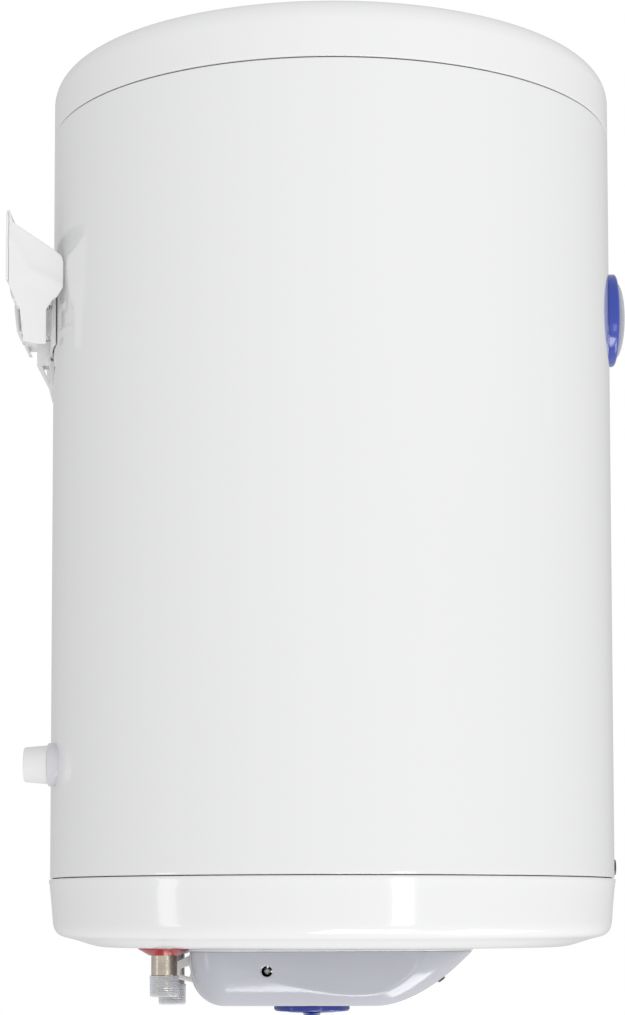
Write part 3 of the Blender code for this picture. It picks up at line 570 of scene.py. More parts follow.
def jacketBore(node, side, axis):
    # room for a CAD node where it passes the jacket, from the node's width along one side
    low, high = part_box(node)
    radius = (high[side] - low[side]) / 2 + jacket["clearance"]
    return bore(radius, -jacket["reach"], jacket["reach"], (low + high) / 2, axis)


def makeShell():
    edge, wall = jacket["edge"], jacket["wall"]
    low, high = 0.0005, shellTop - 0.0005
    outline = arc((shellRadius - edge, high - edge), edge, 90, 0, 5)
    outline += [(shellRadius, high - 4 * edge), (shellRadius, low + 4 * edge)]
    outline += arc((shellRadius - edge, low + edge), edge, 0, -90, 5)
    inner = shellRadius - edge - wall
    outline += [(inner, low), (inner, high)]
    mesh = turned(outline, "white_enamel", jacket["steps"], spot(0, 0, 0))
    bores = [jacketBore("thermometer_case", 0, (0, -1, 0)), jacketBore("spacer_stud", 2, (0, 1, 0))]
    bores += [jacketBore("saddle_bolt_" + word, 2, (0, 1, 0)) for word in ("left", "right")]
    mesh = cutAway(mesh, bores)
    newPiece("jacket_shell", mesh, "white_enamel", replaced=["outer_shell"])
    half, rise = jacket["seamWidth"] / 2, jacket["seamRise"]
    back = shellRadius - 0.0003
    strip = [(-half, -back), (half, -back), (half - 0.001, -back - rise), (-half + 0.001, -back - rise)]
    strip = [(x, axisY - front) for x, front in rounded(strip, 0.0008, 3)]
    mesh = prism(strip, seamUp + 0.004, seamUp + shellTop - 0.004)
    newPiece("jacket_lock_seam", mesh, "white_enamel", replaced=["outer_shell"])


topCapShape = {"turnUp": 0.636, "turnDrop": 0.016, "rim": 0.02, "rise": 0.0665, "lip": 0.0008, "wall": 0.0025}


def makeTopCap():
    turnUp, drop, rim, lip, wall = (topCapShape[k] for k in ("turnUp", "turnDrop", "rim", "lip", "wall"))
    crown = shellTop + topCapShape["rise"]
    start = shellTop + 0.0004
    outer = arc((shellRadius - lip, start + lip), lip, -90, 0, 4)
    outer += [(shellRadius, start + 4 * lip), (shellRadius, turnUp - drop), (shellRadius, turnUp - 0.002)]
    outer += arc((shellRadius - rim, turnUp), rim, 0, 78, 22)
    edgeRadius, edgeUp = outer[-1]
    steps = 26
    domed = []
    for i in range(1, steps + 1):
        t = i / steps
        domed.append((edgeRadius * (1 - t), edgeUp + (crown - edgeUp) * (1 - (1 - t) ** 2)))
    inner = [(max(radius - wall * 0.6, 0), up - wall) for radius, up in reversed(domed)]
    inner += [(shellRadius - wall, turnUp - drop), (shellRadius - wall, start)]
    mesh = turned(outer + domed + inner, "white_cap", jacket["steps"], spot(0, 0, 0), closed=True)
    newPiece("top_cap_moulding", mesh, "white_cap", replaced=["top_cap"])


def pipeBore(kind):
    # room for a water pipe through the bottom cap
    box = nodeBox(kind + "_water_pipe")
    radius = (box["x"][1] - box["x"][0]) / 2 + jacket["clearance"]
    centre = spot(*middleOf(kind + "_water_pipe")[:2], 0)
    return bore(radius, *bottomCapShape["pipeBore"], centre)


bottomCapShape = {"lipRise": 0.0008, "hole": 0.078, "underside": -0.0545, "wall": 0.0025,
                  "pipeBore": (-0.07, -0.04)}


def makeBottomCap():
    lip = shellRadius + bottomCapShape["lipRise"]
    hole, under, wall = (bottomCapShape[k] for k in ("hole", "underside", "wall"))
    outer = arc((lip - 0.0009, -0.0011), 0.0009, 90, 0, 4)
    outer += [(lip, -0.0028), (lip - 0.0004, -0.004), (lip - 0.0012, -0.011), (lip - 0.0025, -0.025)]
    outer += bezier((0.2265, -0.035), (0.2257, -0.0418), (0.2225, -0.0452), (0.216, -0.0468), 12)
    outer += bezier((0.21, -0.0482), (0.201, -0.0508), (0.194, -0.0538), (0.186, -0.0545), 8)
    outer += [(0.184, under), (hole + 0.0015, under), (hole, under + 0.0015)]
    inner = [(hole, under + wall), (0.186, under + wall), (0.213, -0.0448), (0.2225, -0.035)]
    inner += [(0.2258, -0.002), (0.2258, -0.0002)]
    mesh = turned(outer + inner, "white_cap", jacket["steps"], spot(0, 0, 0))
    mesh = cutAway(mesh, [pipeBore(kind) for kind in ("hot", "cold")])
    newPiece("bottom_cap_moulding", mesh, "white_cap", replaced=["bottom_cap"])


makeShell()
makeTopCap()
makeBottomCap()
newPiece("front_hole_plug", softened("front_plug", 0.0009, 3), "plug_black", replaced=["front_plug"])
print("jacket and caps")


# water connections -----

pipes = {"radius": 0.0104, "bore": 0.008, "threadTurns": 8.0, "threadLength": 0.013, "threadDepth": 0.00062}
pipeEnds = {kind: nodeBox(kind + "_water_pipe")["up"][0] for kind in ("hot", "cold")}
pipeSides = {kind: middleOf(kind + "_water_pipe")[0] for kind in ("hot", "cold")}
pipeFront = middleOf("hot_water_pipe")[1]
capUnder = bottomCapShape["underside"]


def makePipe(kind):
    end, top = pipeEnds[kind], nodeBox(kind + "_water_pipe")["up"][1]
    radius, bore = pipes["radius"], pipes["bore"]
    core = radius - pipes["threadDepth"]
    shoulder = end + pipes["threadLength"] + 0.0022
    outline = [(bore, top), (radius, top), (radius, shoulder), (core, shoulder - 0.0008),
               (core, end + 0.0008), (core - 0.0007, end), (bore + 0.0004, end), (bore, end + 0.0006)]
    mesh = turned(outline, "nickel", 72)
    values = {"Radius": core + 0.00002, "Turns": pipes["threadTurns"], "Length": pipes["threadLength"],
              "Depth": pipes["threadDepth"], "Finish": finishes["nickel"]}
    thread = runTree(threadTree, bpy.data.meshes.new("empty"), values)
    thread.transform(Matrix.Translation((0, 0, end + 0.0012)))
    mesh = moved(joined(mesh, thread), spot(pipeSides[kind], pipeFront, 0))
    newPiece(kind + "_outlet_pipe" if kind == "hot" else "cold_inlet_pipe", mesh, "nickel",
             replaced=[kind + "_water_pipe"])


ringShape = {"top": 0.0207, "low": 0.012, "height": 0.0064, "round": 0.0004}


def makePipeRing(kind):
    top, low = capUnder - 0.0003, capUnder - ringShape["height"]
    inner = pipes["radius"] + 0.0004
    corners = [(inner, top), (inner, low), (ringShape["low"], low), (ringShape["top"], top - 0.0011),
               (ringShape["top"], top)]
    outline = rounded(corners, ringShape["round"], 3)
    colorSlot = "hot_red" if kind == "hot" else "cold_blue"
    mesh = turned(outline, colorSlot, 80, spot(pipeSides[kind], pipeFront, 0))
    newPiece(kind + "_marker_ring", mesh, colorSlot, replaced=[kind + "_pipe_ring"])


threadCapShape = {"wide": 0.0117, "narrow": 0.0113, "beads": 5}


def makeThreadCap(kind):
    box = nodeBox(kind + "_thread_cap")
    low, top = box["up"]
    wide, narrow = threadCapShape["wide"], threadCapShape["narrow"]
    inner = pipes["radius"] + 0.0004
    outer = [(0.0, low), (narrow - 0.0022, low)] + arc((narrow - 0.0016, low + 0.0016), 0.0016, -90, 0, 6)
    pitch = (top - low - 0.0062) / threadCapShape["beads"]
    for i in range(threadCapShape["beads"]):
        middle = low + 0.0022 + pitch * (i + 0.5)
        outer += [(narrow, middle - pitch * 0.32), (narrow + 0.00028, middle), (narrow, middle + pitch * 0.32)]
    outer += [(narrow, top - 0.0038), (wide - 0.0002, top - 0.0034)]
    outer += arc((wide - 0.0005, top - 0.0005), 0.0005, 0, 90, 3) + [(inner, top)]
    inside = [(inner, low + 0.0016), (inner - 0.001, low + 0.001), (0.0, low + 0.001)]
    mesh = turned(outer + inside, "thread_cap", 64, spot(pipeSides[kind], pipeFront, 0), closed=False)
    newPiece(kind + "_pipe_stopper", mesh, "thread_cap", kind + "_cap", [kind + "_thread_cap"])


for kind in ("hot", "cold"):
    makePipe(kind)
    makePipeRing(kind)
    makeThreadCap(kind)
print("water connections")


# service cover -----

cover = {
    "back": -0.1128, "front": 0.1145, "top": -0.0578, "base": -0.1006, "half": 0.09, "bow": 0.1162,
    "round": 0.028, "cornerRound": 0.03, "wall": 0.0025, "bowStart": 0.035, "sideSteps": 44, "baseSteps": 22,
    "creaseSoftness": 0.001, "flatInside": 0.03,
}
facet = {"front": -0.0805, "slope": -0.122}
screw = {"radius": 0.0026, "sunk": 0.0115, "slot": 0.0007, "bossWall": 0.0014, "bossDepth": 0.014}
noseFacet = {"front": 0.058, "up": -0.0578, "along": (0.89, -0.456), "turn": 0.22}


def softMin(a, b, reach):
    return min(a, b) - max(reach - abs(a - b), 0) ** 2 / (4 * reach)


def facetHalf(front, up):
    # how far out the flat side stands, with the small second flat at its nose
    half = cover["half"] + facet["slope"] * (front - facet["front"])
    along, rise = noseFacet["along"]
    ahead = -(front - noseFacet["front"]) * rise + (up - noseFacet["up"]) * along
    return softMin(half, half - noseFacet["turn"] * ahead, cover["creaseSoftness"])


def planHalf(front):
    corner = cover["cornerRound"]
    if front < cover["back"] + corner:
        away = cover["back"] + corner - front
        return cover["half"] - corner + sqrt(max(corner ** 2 - away ** 2, 0))
    if front <= 0:
        return cover["half"]
    return cover["half"] * sqrt(1 - (front / cover["bow"]) ** 2)


def coverStations():
    # (front, base) down the back, along the underside and up the bow
    back, base, radius = cover["back"], cover["base"], cover["round"]
    rows = [(back + radius * (1 - cos(a)), base + radius * (1 - sin(a)))
            for a in [radians(90 * i / 26) for i in range(27)]]
    flat = (rows[-1][0], cover["bowStart"])
    rows += [(flat[0] + (flat[1] - flat[0]) * i / 74, base) for i in range(1, 74)]
    rows += bezier((cover["bowStart"], base), (0.06, base), (0.092, -0.08),
                   (cover["front"], cover["top"] + 0.0008), 62)
    return [(front, low) for front, low in rows if low < cover["top"] - 0.0004]


def coverSection(front, base):
    # half a section from the rim down to the middle of the underside
    half, top = planHalf(front), cover["top"]
    wide = min(cover["round"], half * 0.7)
    points = []
    for i in range(cover["sideSteps"] + 1):
        angle = pi / 2 * i / cover["sideSteps"]
        points.append((half - wide + wide * cos(angle), top - (top - base) * sin(angle)))
    edge = points[-1][0]
    points += [(edge * (1 - i / cover["baseSteps"]), base) for i in range(1, cover["baseSteps"] + 1)]
    soft, inside = cover["creaseSoftness"], cover["flatInside"]
    return [(softMin(x, facetHalf(front, up), soft), up) if x > inside else (x, up) for x, up in points]


def makeCover():
    bm = bmesh.new()
    rings = []
    for front, base in coverStations():
        half = coverSection(front, base)
        whole = half + [(-x, up) for x, up in reversed(half[:-1])]
        rings.append([bm.verts.new(spot(x, front, up)) for x, up in whole])
    bridged(bm, rings, False)
    bm.faces.new(rings[0])
    bm.faces.new(reversed(rings[-1]))
    closeUp(bm, 1e-5)
    lowest = min(bm.faces, key=lambda face: face.calc_center_median().z)
    if lowest.normal.z > 0:
        bmesh.ops.reverse_faces(bm, faces=bm.faces)
    mesh = evaluated(meshOf(bm), [("SOLIDIFY", {"thickness": cover["wall"], "offset": -1.0})])
    screwFront, screwUp = middleOf("cover_screw_left")[1:]
    knobFront = middleOf("thermostat_spindle")[1]
    skin = facetHalf(screwFront, screwUp)
    cutters = []
    for side in (-1, 1):
        mouth = spot(side * skin, screwFront, screwUp)
        well = [(0.0, -0.02), (0.0043, -0.02), (0.0043, -0.0006), (0.0052, 0.0006), (0.0052, 0.004)]
        cutters.append(turned(well + [(0.0, 0.004)], "cover_grey", 40, mouth, (side, 0, 0), False))
    hole = [(0.0, -0.01), (0.0042, -0.01), (0.0042, 0.01), (0.0, 0.01)]
    cutters.append(turned(hole, "cover_grey", 32, spot(0, knobFront, cover["base"]), closed=False))
    opening = softened("pilot_lamp", 0.0009, 4)
    centre = sum((v.co for v in opening.vertices), Vector()) / len(opening.vertices)
    opening.transform(Matrix.Translation(centre) @ Matrix.Scale(1.05, 4) @ Matrix.Translation(-centre))
    mesh = cutAway(mesh, cutters + [opening])
    for side in (-1, 1):
        wide, deep = 0.0043 + screw["bossWall"], -screw["bossDepth"]
        boss = [(0.0043, deep), (wide, deep), (wide, -0.0012), (0.0043, -0.0012)]
        seat = spot(side * skin, screwFront, screwUp)
        mesh = joined(mesh, turned(boss, "cover_grey", 40, seat, (side, 0, 0)))
    newPiece("service_cover_moulding", mesh, "cover_grey", replaced=["service_cover"], sharp=30)


def rimOutline(out):
    # the cover's rim seen from below, moved out a little
    right = []
    for front, base in coverStations():
        x = coverSection(front, base)[0][0]
        right.append(Vector((x, front)))
    whole = right + [Vector((-p.x, p.y)) for p in reversed(right)]
    shifted = []
    for before, here, after in zip(whole[-1:] + whole[:-1], whole, whole[1:] + whole[:1]):
        along = (after - before).normalized()
        normal = Vector((along.y, -along.x))
        if normal.dot(here) < 0:
            normal = -normal
        shifted.append(here + normal * out)
    return shifted


def makeCollar():
    low, high = capUnder - 0.003, capUnder - 0.0002
    levels = [(-0.0085, high), (0.0002, high), (0.0008, high - 0.0006), (0.0008, low + 0.0007), (0.0003, low),
              (-0.0085, low)]
    bm = bmesh.new()
    rings = [[bm.verts.new(spot(p.x, p.y, up)) for p in rimOutline(out)] for out, up in levels]
    bridged(bm, rings + rings[:1], True)
    newPiece("cover_seat_collar", meshOf(closeUp(bm, 1e-6)), "collar", replaced=["cover_collar"])




def makeCoverScrews():
    for side, word in ((-1, "left"), (1, "right")):
        box = nodeBox("cover_screw_" + word)
        front, up = middleOf("cover_screw_" + word)[1:]
        head = max(abs(v) for v in box["x"]) - screw["sunk"]
        outline = [(0.0, -0.014), (0.002, -0.014), (0.002, -0.0024), (screw["radius"], -0.002),
                   (screw["radius"], -0.0009)]
        outline += bezier(outline[-1], (0.0034, -0.0001), (0.002, 0.0002), (0.0, 0.0003), 6)
        mesh = turned(outline, "fastener", 40, closed=False)
        arms = [prism(oblong(0.0022, screw["slot"] / 2), -0.0012, 0.002) for _ in range(2)]
        arms[1].transform(Matrix.Rotation(pi / 2, 4, "Z"))
        for arm in arms:
            mesh = cutAway(mesh, [arm])
        mesh = moved(mesh, spot(side * head, front, up), (side, 0, 0))
        newPiece("cover_screw_head_" + word, mesh, "fastener", replaced=["cover_screw_" + word])


makeCover()
makeCollar()
makeCoverScrews()
lampLens = softened("pilot_lamp", 0.0009, 4)
lampLens.transform(Matrix.Translation((0, -0.0002, -0.0003)))
newPiece("pilot_lamp_lens", lampLens, "lamp", replaced=["pilot_lamp"])
newPiece("supply_cable_guide", softened("cable_guide", 0.0008, 3), "guide_white", replaced=["cable_guide"])
print("service cover")


# thermostat knob -----

knob = {"radius": 0.0305, "gripHalf": 0.0255, "gripWide": 0.0065, "ribs": 60, "marks": 9}
knobBox = nodeBox("thermostat_knob")
knobFront = middleOf("thermostat_knob")[1]


def superOval(halfLong, halfWide, power, steps):
    points = []
    for i in range(steps):
        a = 2 * pi * i / steps
        c, s = cos(a), sin(a)
        points.append((halfLong * abs(c) ** (2 / power) * (1 if c >= 0 else -1),
                       halfWide * abs(s) ** (2 / power) * (1 if s >= 0 else -1)))
    return points


def makeKnob():
    top, low = knobBox["up"][1], knobBox["up"][0]
    rimLow = top - 0.0052
    radius = knob["radius"]
    disc = [(0.0, top), (radius - 0.0014, top)] + arc((radius - 0.0012, top - 0.0012), 0.0012, 90, 0, 5)
    disc += arc((radius - 0.0016, rimLow + 0.0016), 0.0016, 0, -80, 6)
    disc += bezier((radius - 0.004, rimLow + 0.0002), (0.024, rimLow + 0.0004), (0.0215, rimLow - 0.0002),
                   (0.019, rimLow - 0.001), 6)
    disc += [(0.012, rimLow - 0.0014), (0.0, rimLow - 0.0015)]
    parts = [turned(disc, "knob_blue", 128, closed=False)]
    rib = prism(rounded([(-0.00022, -0.00035), (0.0003, -0.00035), (0.0003, 0.00035), (-0.00022, 0.00035)],
                        0.0002, 2), rimLow + 0.0016, top - 0.0012)
    parts.append(ringOf(rib, knob["ribs"], 0, 360 * (knob["ribs"] - 1) / knob["ribs"], radius - 0.00008,
                        finishes["knob_blue"]))
    bm = bmesh.new()
    rings = []
    height = rimLow - 0.0008 - low
    sections = [(0.0, 1.1, 1.3), (0.12, 1.02, 1.1), (0.35, 1.0, 1.0), (0.7, 0.985, 0.9), (0.88, 0.96, 0.8),
                (0.96, 0.93, 0.66), (1.0, 0.88, 0.46)]
    for depth, long, wide in sections:
        up = rimLow - 0.0008 - height * depth
        outline = superOval(knob["gripHalf"] * long * 0.965, knob["gripWide"] * wide, 2.6, 56)
        rings.append([bm.verts.new((x, y, up)) for x, y in outline])
    bridged(bm, rings, True)
    bm.faces.new(rings[0])
    bm.faces.new(rings[-1])
    parts.append(meshOf(closeUp(bm)))
    mesh = moved(joined(*parts), spot(0, knobFront, 0))
    newPiece("temperature_knob", mesh, "knob_blue", "knob", ["thermostat_knob"], sharp=38)
    mark = prism(rounded(oblong(0.0016, 0.00035), 0.0003, 2), rimLow - 0.0001, rimLow + 0.0006)
    marks = ringOf(mark, knob["marks"], -225, 270, 0.0262, finishes["terminal"])
    newPiece("knob_scale_marks", moved(marks, spot(0, knobFront, 0)), "terminal", "knob", ["thermostat_knob"])


makeKnob()
print("thermostat knob")


# thermometer -----

gauge = {"ringRadius": 0.038, "faceRadius": 0.0345, "lensRadius": 0.0316, "caseRadius": 0.0285,
         "ticks": 41, "bigTicks": 9, "sweepStart": -30, "sweep": 240, "ringBack": 0.2246, "lensSeat": 0.2332}
gaugeBox = nodeBox("thermometer_ring")
gaugeUp = middleOf("thermometer_ring")[2]
ringFace = gaugeBox["front"][1]
dialFace = nodeBox("thermometer_dial")["front"][1]


def toGauge(mesh):
    # a mesh drawn looking at the dial, x to the right and y up, set on the gauge's axis
    mesh.transform(Matrix(((1, 0, 0, 0), (0, 0, -1, axisY), (0, 1, 0, seamUp + gaugeUp), (0, 0, 0, 1))))
    return mesh


def makeGauge():
    outer, face, lens = gauge["ringRadius"], gauge["faceRadius"], gauge["lensRadius"]
    outline = [(outer - 0.0002, gauge["ringBack"]), (outer, 0.233)]
    outline += bezier(outline[-1], (outer - 0.0002, ringFace - 0.001), (outer - 0.0016, ringFace - 0.0002),
                      (face, ringFace), 8)
    outline += arc((lens + 0.001, ringFace - 0.0008), 0.0007, 90, 180, 4)
    outline += [(lens + 0.0003, gauge["lensSeat"]), (gauge["caseRadius"], gauge["lensSeat"]),
                (gauge["caseRadius"], gauge["ringBack"])]
    ring = toGauge(turned(outline, "gauge_ring", 128))
    seat = turned([(0.0, -0.06), (shellRadius + 0.0002, -0.06), (shellRadius + 0.0002, 0.06), (0.0, 0.06)],
                  "gauge_ring", jacket["steps"], spot(0, 0, gaugeUp), closed=False)
    newPiece("thermometer_bezel", cutAway(ring, [seat]), "gauge_ring", replaced=["thermometer_ring"])

    apex = nodeBox("thermometer_lens")["front"][1]
    rise = apex - 0.235
    top = [(lens * cos(a), 0.235 + rise * sin(a)) for a in [radians(90 * i / 16) for i in range(17)]]
    under = [(r * 0.955, h - 0.0014) for r, h in reversed(top)]
    lensLine = [(lens, 0.234)] + top[:-1] + [(0.0, apex)] + [(0.0, apex - 0.0014)] + under[1:]
    lensLine += [(lens * 0.955, 0.234)]
    mesh = toGauge(turned(lensLine, "gauge_lens", 96, closed=True))
    newPiece("thermometer_window", mesh, "gauge_lens", replaced=["thermometer_lens"])

    plate = [(0.0012, dialFace - 0.001), (0.0262, dialFace - 0.001), (0.0262, dialFace - 0.0002),
             (0.0258, dialFace), (0.0012, dialFace)]
    mesh = toGauge(turned(plate, "gauge_dial", 96))
    newPiece("thermometer_scale_plate", mesh, "gauge_dial", replaced=["thermometer_dial"])

    ink = dialFace - 0.00002, dialFace + 0.0001
    small = prism(oblong(0.0011, 0.00012), *ink)
    large = prism(oblong(0.0021, 0.00024), *ink)
    ticks = [ringOf(small, gauge["ticks"], gauge["sweepStart"], gauge["sweep"], 0.0236, dialInk),
             ringOf(large, gauge["bigTicks"], gauge["sweepStart"], gauge["sweep"], 0.0226, dialInk)]
    for step in range(gauge["bigTicks"]):
        angle = radians(gauge["sweepStart"] + gauge["sweep"] * step / (gauge["bigTicks"] - 1))
        ticks.append(numberMesh(str(80 - 10 * step), 0.0034, (0.0178 * cos(angle), 0.0178 * sin(angle)), ink))
    mesh = toGauge(joined(*ticks))
    newPiece("thermometer_scale_print", mesh, "gauge_dial", replaced=["thermometer_dial"], finish=dialInk)


def numberMesh(text, size, at, levels):
    words = bpy.data.curves.new("number", "FONT")
    words.body = text
    words.size = size
    words.align_x, words.align_y = "CENTER", "CENTER"
    words.resolution_u = 2
    words.extrude = (levels[1] - levels[0]) / 2
    holder = bpy.data.objects.new("number", words)
    bpy.context.scene.collection.objects.link(holder)
    mesh = bpy.data.meshes.new_from_object(holder.evaluated_get(bpy.context.evaluated_depsgraph_get()))
    bpy.data.objects.remove(holder)
    mesh.transform(Matrix.Translation((*at, sum(levels) / 2)))
    return meshOf(closeUp(bmeshOf(mesh), 1e-7))


makeGauge()
newPiece("thermometer_pointer", softened("thermometer_needle", 0.00012, 2), "needle_red", "needle",
         ["thermometer_needle"])
print("thermometer")


# wall bracket and spacer -----

bracket = {"edge": 0.0005, "curl": 0.0034, "curlFrom": 0.476,
           "foldDepth": 0.0024, "foldWidth": 0.0065, "foldFade": 2.718}


def subdivided(mesh, longest):
    # cuts a plate's faces into small ones so that it can be pressed to shape
    bm = bmeshOf(mesh)
    bmesh.ops.triangulate(bm, faces=[f for f in bm.faces if len(f.verts) > 4])
    for _ in range(6):
        long = [e for e in bm.edges if e.calc_length() > longest]
        if not long:
            break
        bmesh.ops.subdivide_edges(bm, edges=long, cuts=1, use_grid_fill=True)
        bmesh.ops.triangulate(bm, faces=[f for f in bm.faces if len(f.verts) > 4])
    return bm


def makeWallPlate():
    bm = subdivided(softened("bracket_wall_plate", bracket["edge"], 2), 0.006)
    for v in bm.verts:
        below = bracket["curlFrom"] - (v.co.z - seamUp)
        if below > 0:
            v.co.y -= bracket["curl"] * (below / 0.012) ** 2
    mesh = meshOf(closeUp(bm))
    newPiece("bracket_hook_plate", mesh, "bracket_enamel", replaced=["bracket_wall_plate"])


def foldDistance(front, up):
    # signed distance above the pressed fold, which runs down and forwards across the wing
    corners = [(-0.2569, 0.5085), (-0.2412, 0.4826), (-0.2267, 0.4758), (-0.2127, 0.469)]
    best = 1.0
    for (f0, u0), (f1, u1) in zip(corners, corners[1:]):
        along = Vector((f1 - f0, u1 - u0))
        t = min(max(((front - f0) * along.x + (up - u0) * along.y) / along.length_squared, 0), 1)
        off = Vector((front - f0 - along.x * t, up - u0 - along.y * t))
        if off.length < abs(best):
            side = along.x * off.y - along.y * off.x
            best = off.length * (1 if side > 0 else -1)
    return best


def makeWings():
    for side, word in ((-1, "left"), (1, "right")):
        bm = subdivided(softened("bracket_wing_" + word, bracket["edge"], 2), 0.0022)
        for v in bm.verts:
            front, up = axisY - v.co.y, v.co.z - seamUp
            away = foldDistance(front, up) / bracket["foldWidth"]
            v.co.x += side * bracket["foldDepth"] * bracket["foldFade"] ** (-away * away)
        bmesh.ops.recalc_face_normals(bm, faces=bm.faces)
        newPiece("bracket_side_wing_" + word, meshOf(bm), "bracket_enamel", replaced=["bracket_wing_" + word])


makeWallPlate()
makeWings()
for node, name in (("bracket_lower_web", "bracket_cross_web"), ("bracket_foot", "bracket_foot_strut"),
                   ("bracket_saddle", "bracket_saddle_plate")):
    newPiece(name, softened(node, bracket["edge"], 2), "bracket_enamel", replaced=[node])

spacer = {"back": 0.0155, "end": 0.0137, "hole": 0.0054}


def makeSpacer():
    box = nodeBox("wall_spacer")
    x, _, up = middleOf("wall_spacer")
    near, far = -box["front"][1], -box["front"][0]
    body = [(spacer["hole"], near), (spacer["back"], near), (spacer["end"] + 0.0002, far - 0.001)]
    body += arc((spacer["end"] - 0.0008, far - 0.001), 0.001, 0, 90, 4)
    body += [(0.003, far), (0.0024, far - 0.0006), (0.0, far - 0.0006), (0.0, far - 0.0013),
             (spacer["hole"], far - 0.0013)]
    mesh = turned(body, "spacer_white", 72, spot(x, 0, up), (0, 1, 0))
    newPiece("wall_stand_off", mesh, "spacer_white", "spacer", ["wall_spacer"])
    newPiece("stand_off_collar", softened("spacer_collar", 0.0006, 3), "collar", replaced=["spacer_collar"])


makeSpacer()
print("bracket and spacer")


# pieces inside and fasteners keep their CAD shape -----

keptLooks = {
    "foam": ["insulation_foam"],
    "tank_glaze": ["inner_tank"],
    "flange_steel": ["flange_ring", "flange_plate"],
    "gasket": ["flange_gasket"],
    "fastener": ["flange_nut_1", "flange_nut_2", "flange_nut_3", "flange_nut_4", "flange_nut_5", "anode_nut",
                 "thermostat_spindle", "spacer_stud", "saddle_bolt_left", "saddle_bolt_right"],
    "copper": ["heating_element", "sensor_pocket"],
    "anode": ["anode_rod"],
    "brass": ["earth_stud", "thermostat_bulb", "thermostat_capillary", "thermometer_stem"],
    "dip_tube": ["hot_dip_tube", "inlet_diffuser"],
    "switchgear": ["thermostat_body", "safety_cut_out"],
    "reset_red": ["reset_button"],
    "terminal": ["terminal_block"],
    "lead_brown": ["supply_lead"],
    "lead_blue": ["linking_lead"],
    "gauge_case": ["thermometer_case"],
}
for slotName, nodes in keptLooks.items():
    for node in nodes:
        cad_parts[node].material_slots[0].material = finishes[slotName]
print("inner pieces")


# floor, light and camera -----

studio = {"floorDrop": 0.45, "floorSize": 30.0, "white": 1.0, "level": 0.76, "ahead": 0.14, "aside": 0.05,
          "below": 0.5, "rearShade": 0.7, "key": 22.0, "stripDrop": -0.262, "stripAway": 1.5}


def makeFloor():
    size, level = studio["floorSize"] / 2, cadBounds[0][2] - studio["floorDrop"]
    mesh = bpy.data.meshes.new("floor")
    mesh.from_pydata([(x, y, level) for x, y in oblong(size, size)], [], [(0, 1, 2, 3)])
    look = Finish("floor", {"Emission Strength": 0.34, "Roughness": 0.9, "Specular IOR Level": 0.0})
    paper = look.noise(3.0, 2.0)
    tint = look.blend(paper, rgb((0.9, 0.9, 0.9)), rgb((0.92, 0.92, 0.92)))
    mesh.materials.append(look.wire(color=tint, glow=tint))
    floor = bpy.data.objects.new("floor", mesh)
    bpy.context.scene.collection.objects.link(floor)
    floor.visible_diffuse = floor.visible_glossy = False


def makeSky():
    world = bpy.data.worlds.new("studio")
    bpy.context.scene.world = world
    world.use_nodes = True
    sky = Kit(world.node_tree)
    world.node_tree.nodes.clear()
    ray = sky.add("ShaderNodeLightPath", output="Is Camera Ray")
    toward = sky.add("ShaderNodeTexCoord", output="Generated")
    split = sky.add("ShaderNodeSeparateXYZ", {}, {0: toward})
    down = split.out("Z").compute("MINIMUM", split.out("Z"), 0.0)
    around = (studio["level"] - split.out("X") * studio["ahead"] - split.out("Y") * studio["aside"]
              - down * studio["below"] * (1.0 - split.out("Y") * studio["rearShade"]))
    level = ray * studio["white"] + (1.0 - ray) * around
    light = sky.add("ShaderNodeBackground", {}, {"Color": (1.0, 1.0, 1.0, 1.0), "Strength": level})
    output = sky.tree.nodes.new("ShaderNodeOutputWorld")
    sky.tree.links.new(light.socket, output.inputs[0])


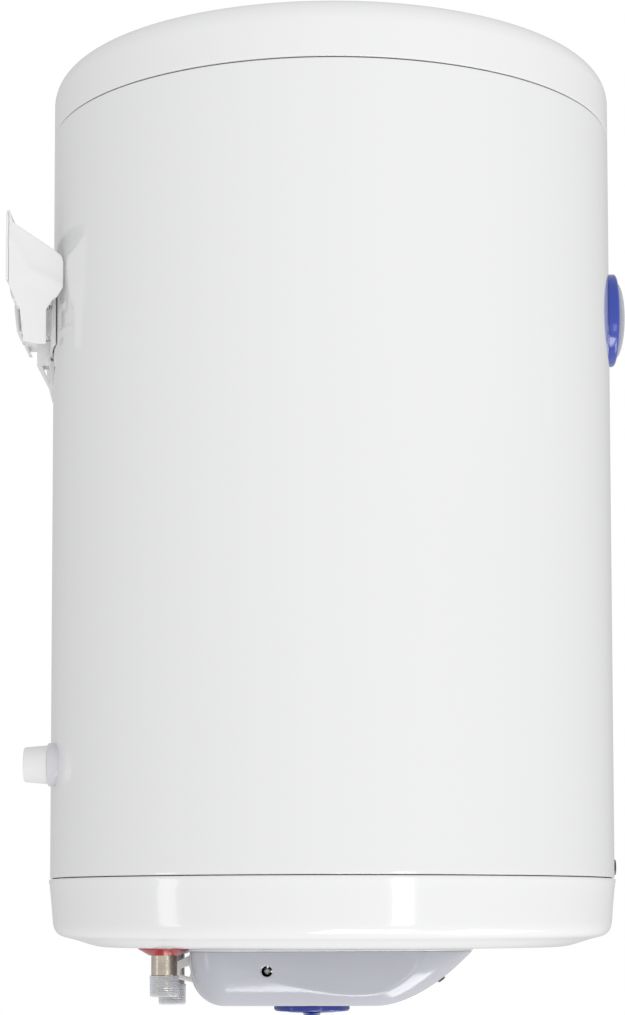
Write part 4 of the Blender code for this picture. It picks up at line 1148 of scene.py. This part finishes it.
def makeLight(name, at, toward, width, height, power, mirrored):
    # a soft panel; mirrored panels show only as reflections, the others only as light
    lamp = bpy.data.lights.new(name, "AREA")
    lamp.shape = "RECTANGLE"
    lamp.size, lamp.size_y, lamp.energy = width, height, power
    holder = bpy.data.objects.new(name, lamp)
    bpy.context.scene.collection.objects.link(holder)
    holder.location = at
    holder.rotation_euler = (Vector(toward) - Vector(at)).to_track_quat("-Z", "Y").to_euler()
    holder.visible_glossy = mirrored
    holder.visible_diffuse = not mirrored


def makeCamera():
    view = {"distance": 2.051936, "drop": -0.029999, "pitch": 4.227562, "roll": 0.065708, "yaw": -0.44217,
            "lens": 89.0033, "shift": 0.22}
    pitch, roll, yaw = (radians(view[k]) for k in ("pitch", "roll", "yaw"))
    forward = Vector((cos(yaw) * cos(pitch), -sin(yaw) * cos(pitch), sin(pitch)))
    level = Vector((-sin(yaw), -cos(yaw), 0))
    rise = Vector((-cos(yaw) * sin(pitch), sin(yaw) * sin(pitch), cos(pitch)))
    right = level * cos(roll) - rise * sin(roll)
    upward = level * sin(roll) + rise * cos(roll)
    lens = bpy.data.cameras.new("camera")
    lens.lens, lens.shift_y, lens.sensor_width = view["lens"], view["shift"], 36.0
    lens.clip_end = 100.0
    camera = bpy.data.objects.new("camera", lens)
    bpy.context.scene.collection.objects.link(camera)
    turn = Matrix((right, upward, -forward)).transposed().to_4x4()
    camera.matrix_world = Matrix.Translation(spot(-view["distance"], 0, view["drop"])) @ turn
    bpy.context.scene.camera = camera


makeFloor()
makeSky()
middle = spot(0, 0, 0.25)
makeLight("key", middle + Vector((-3.2, -0.9, 0.6)), middle, 3.6, 3.6, studio["key"], False)
lowMiddle = spot(0, 0, -0.08)
for name, away, width, power in (("low_panel", (-1.06, -0.37, -1.7), 1.0, 34.0),
                                 ("bow_panel", (-0.1, -1.3, -1.5), 1.2, 26.0)):
    makeLight(name, lowMiddle + Vector(away), lowMiddle, width, 1.0, power, True)
level = lowMiddle + Vector((0, 0, studio["stripDrop"]))
for name, aside, power in (("rear_strip", 64, 0.7), ("fore_strip", -26, 1.0)):
    away = Vector((-cos(radians(aside)), sin(radians(aside)), 0)) * studio["stripAway"]
    makeLight(name, level + away, level, 0.22, 0.5, power, True)
makeCamera()
bpy.context.scene.view_settings.view_transform = "Standard"
print("stage")
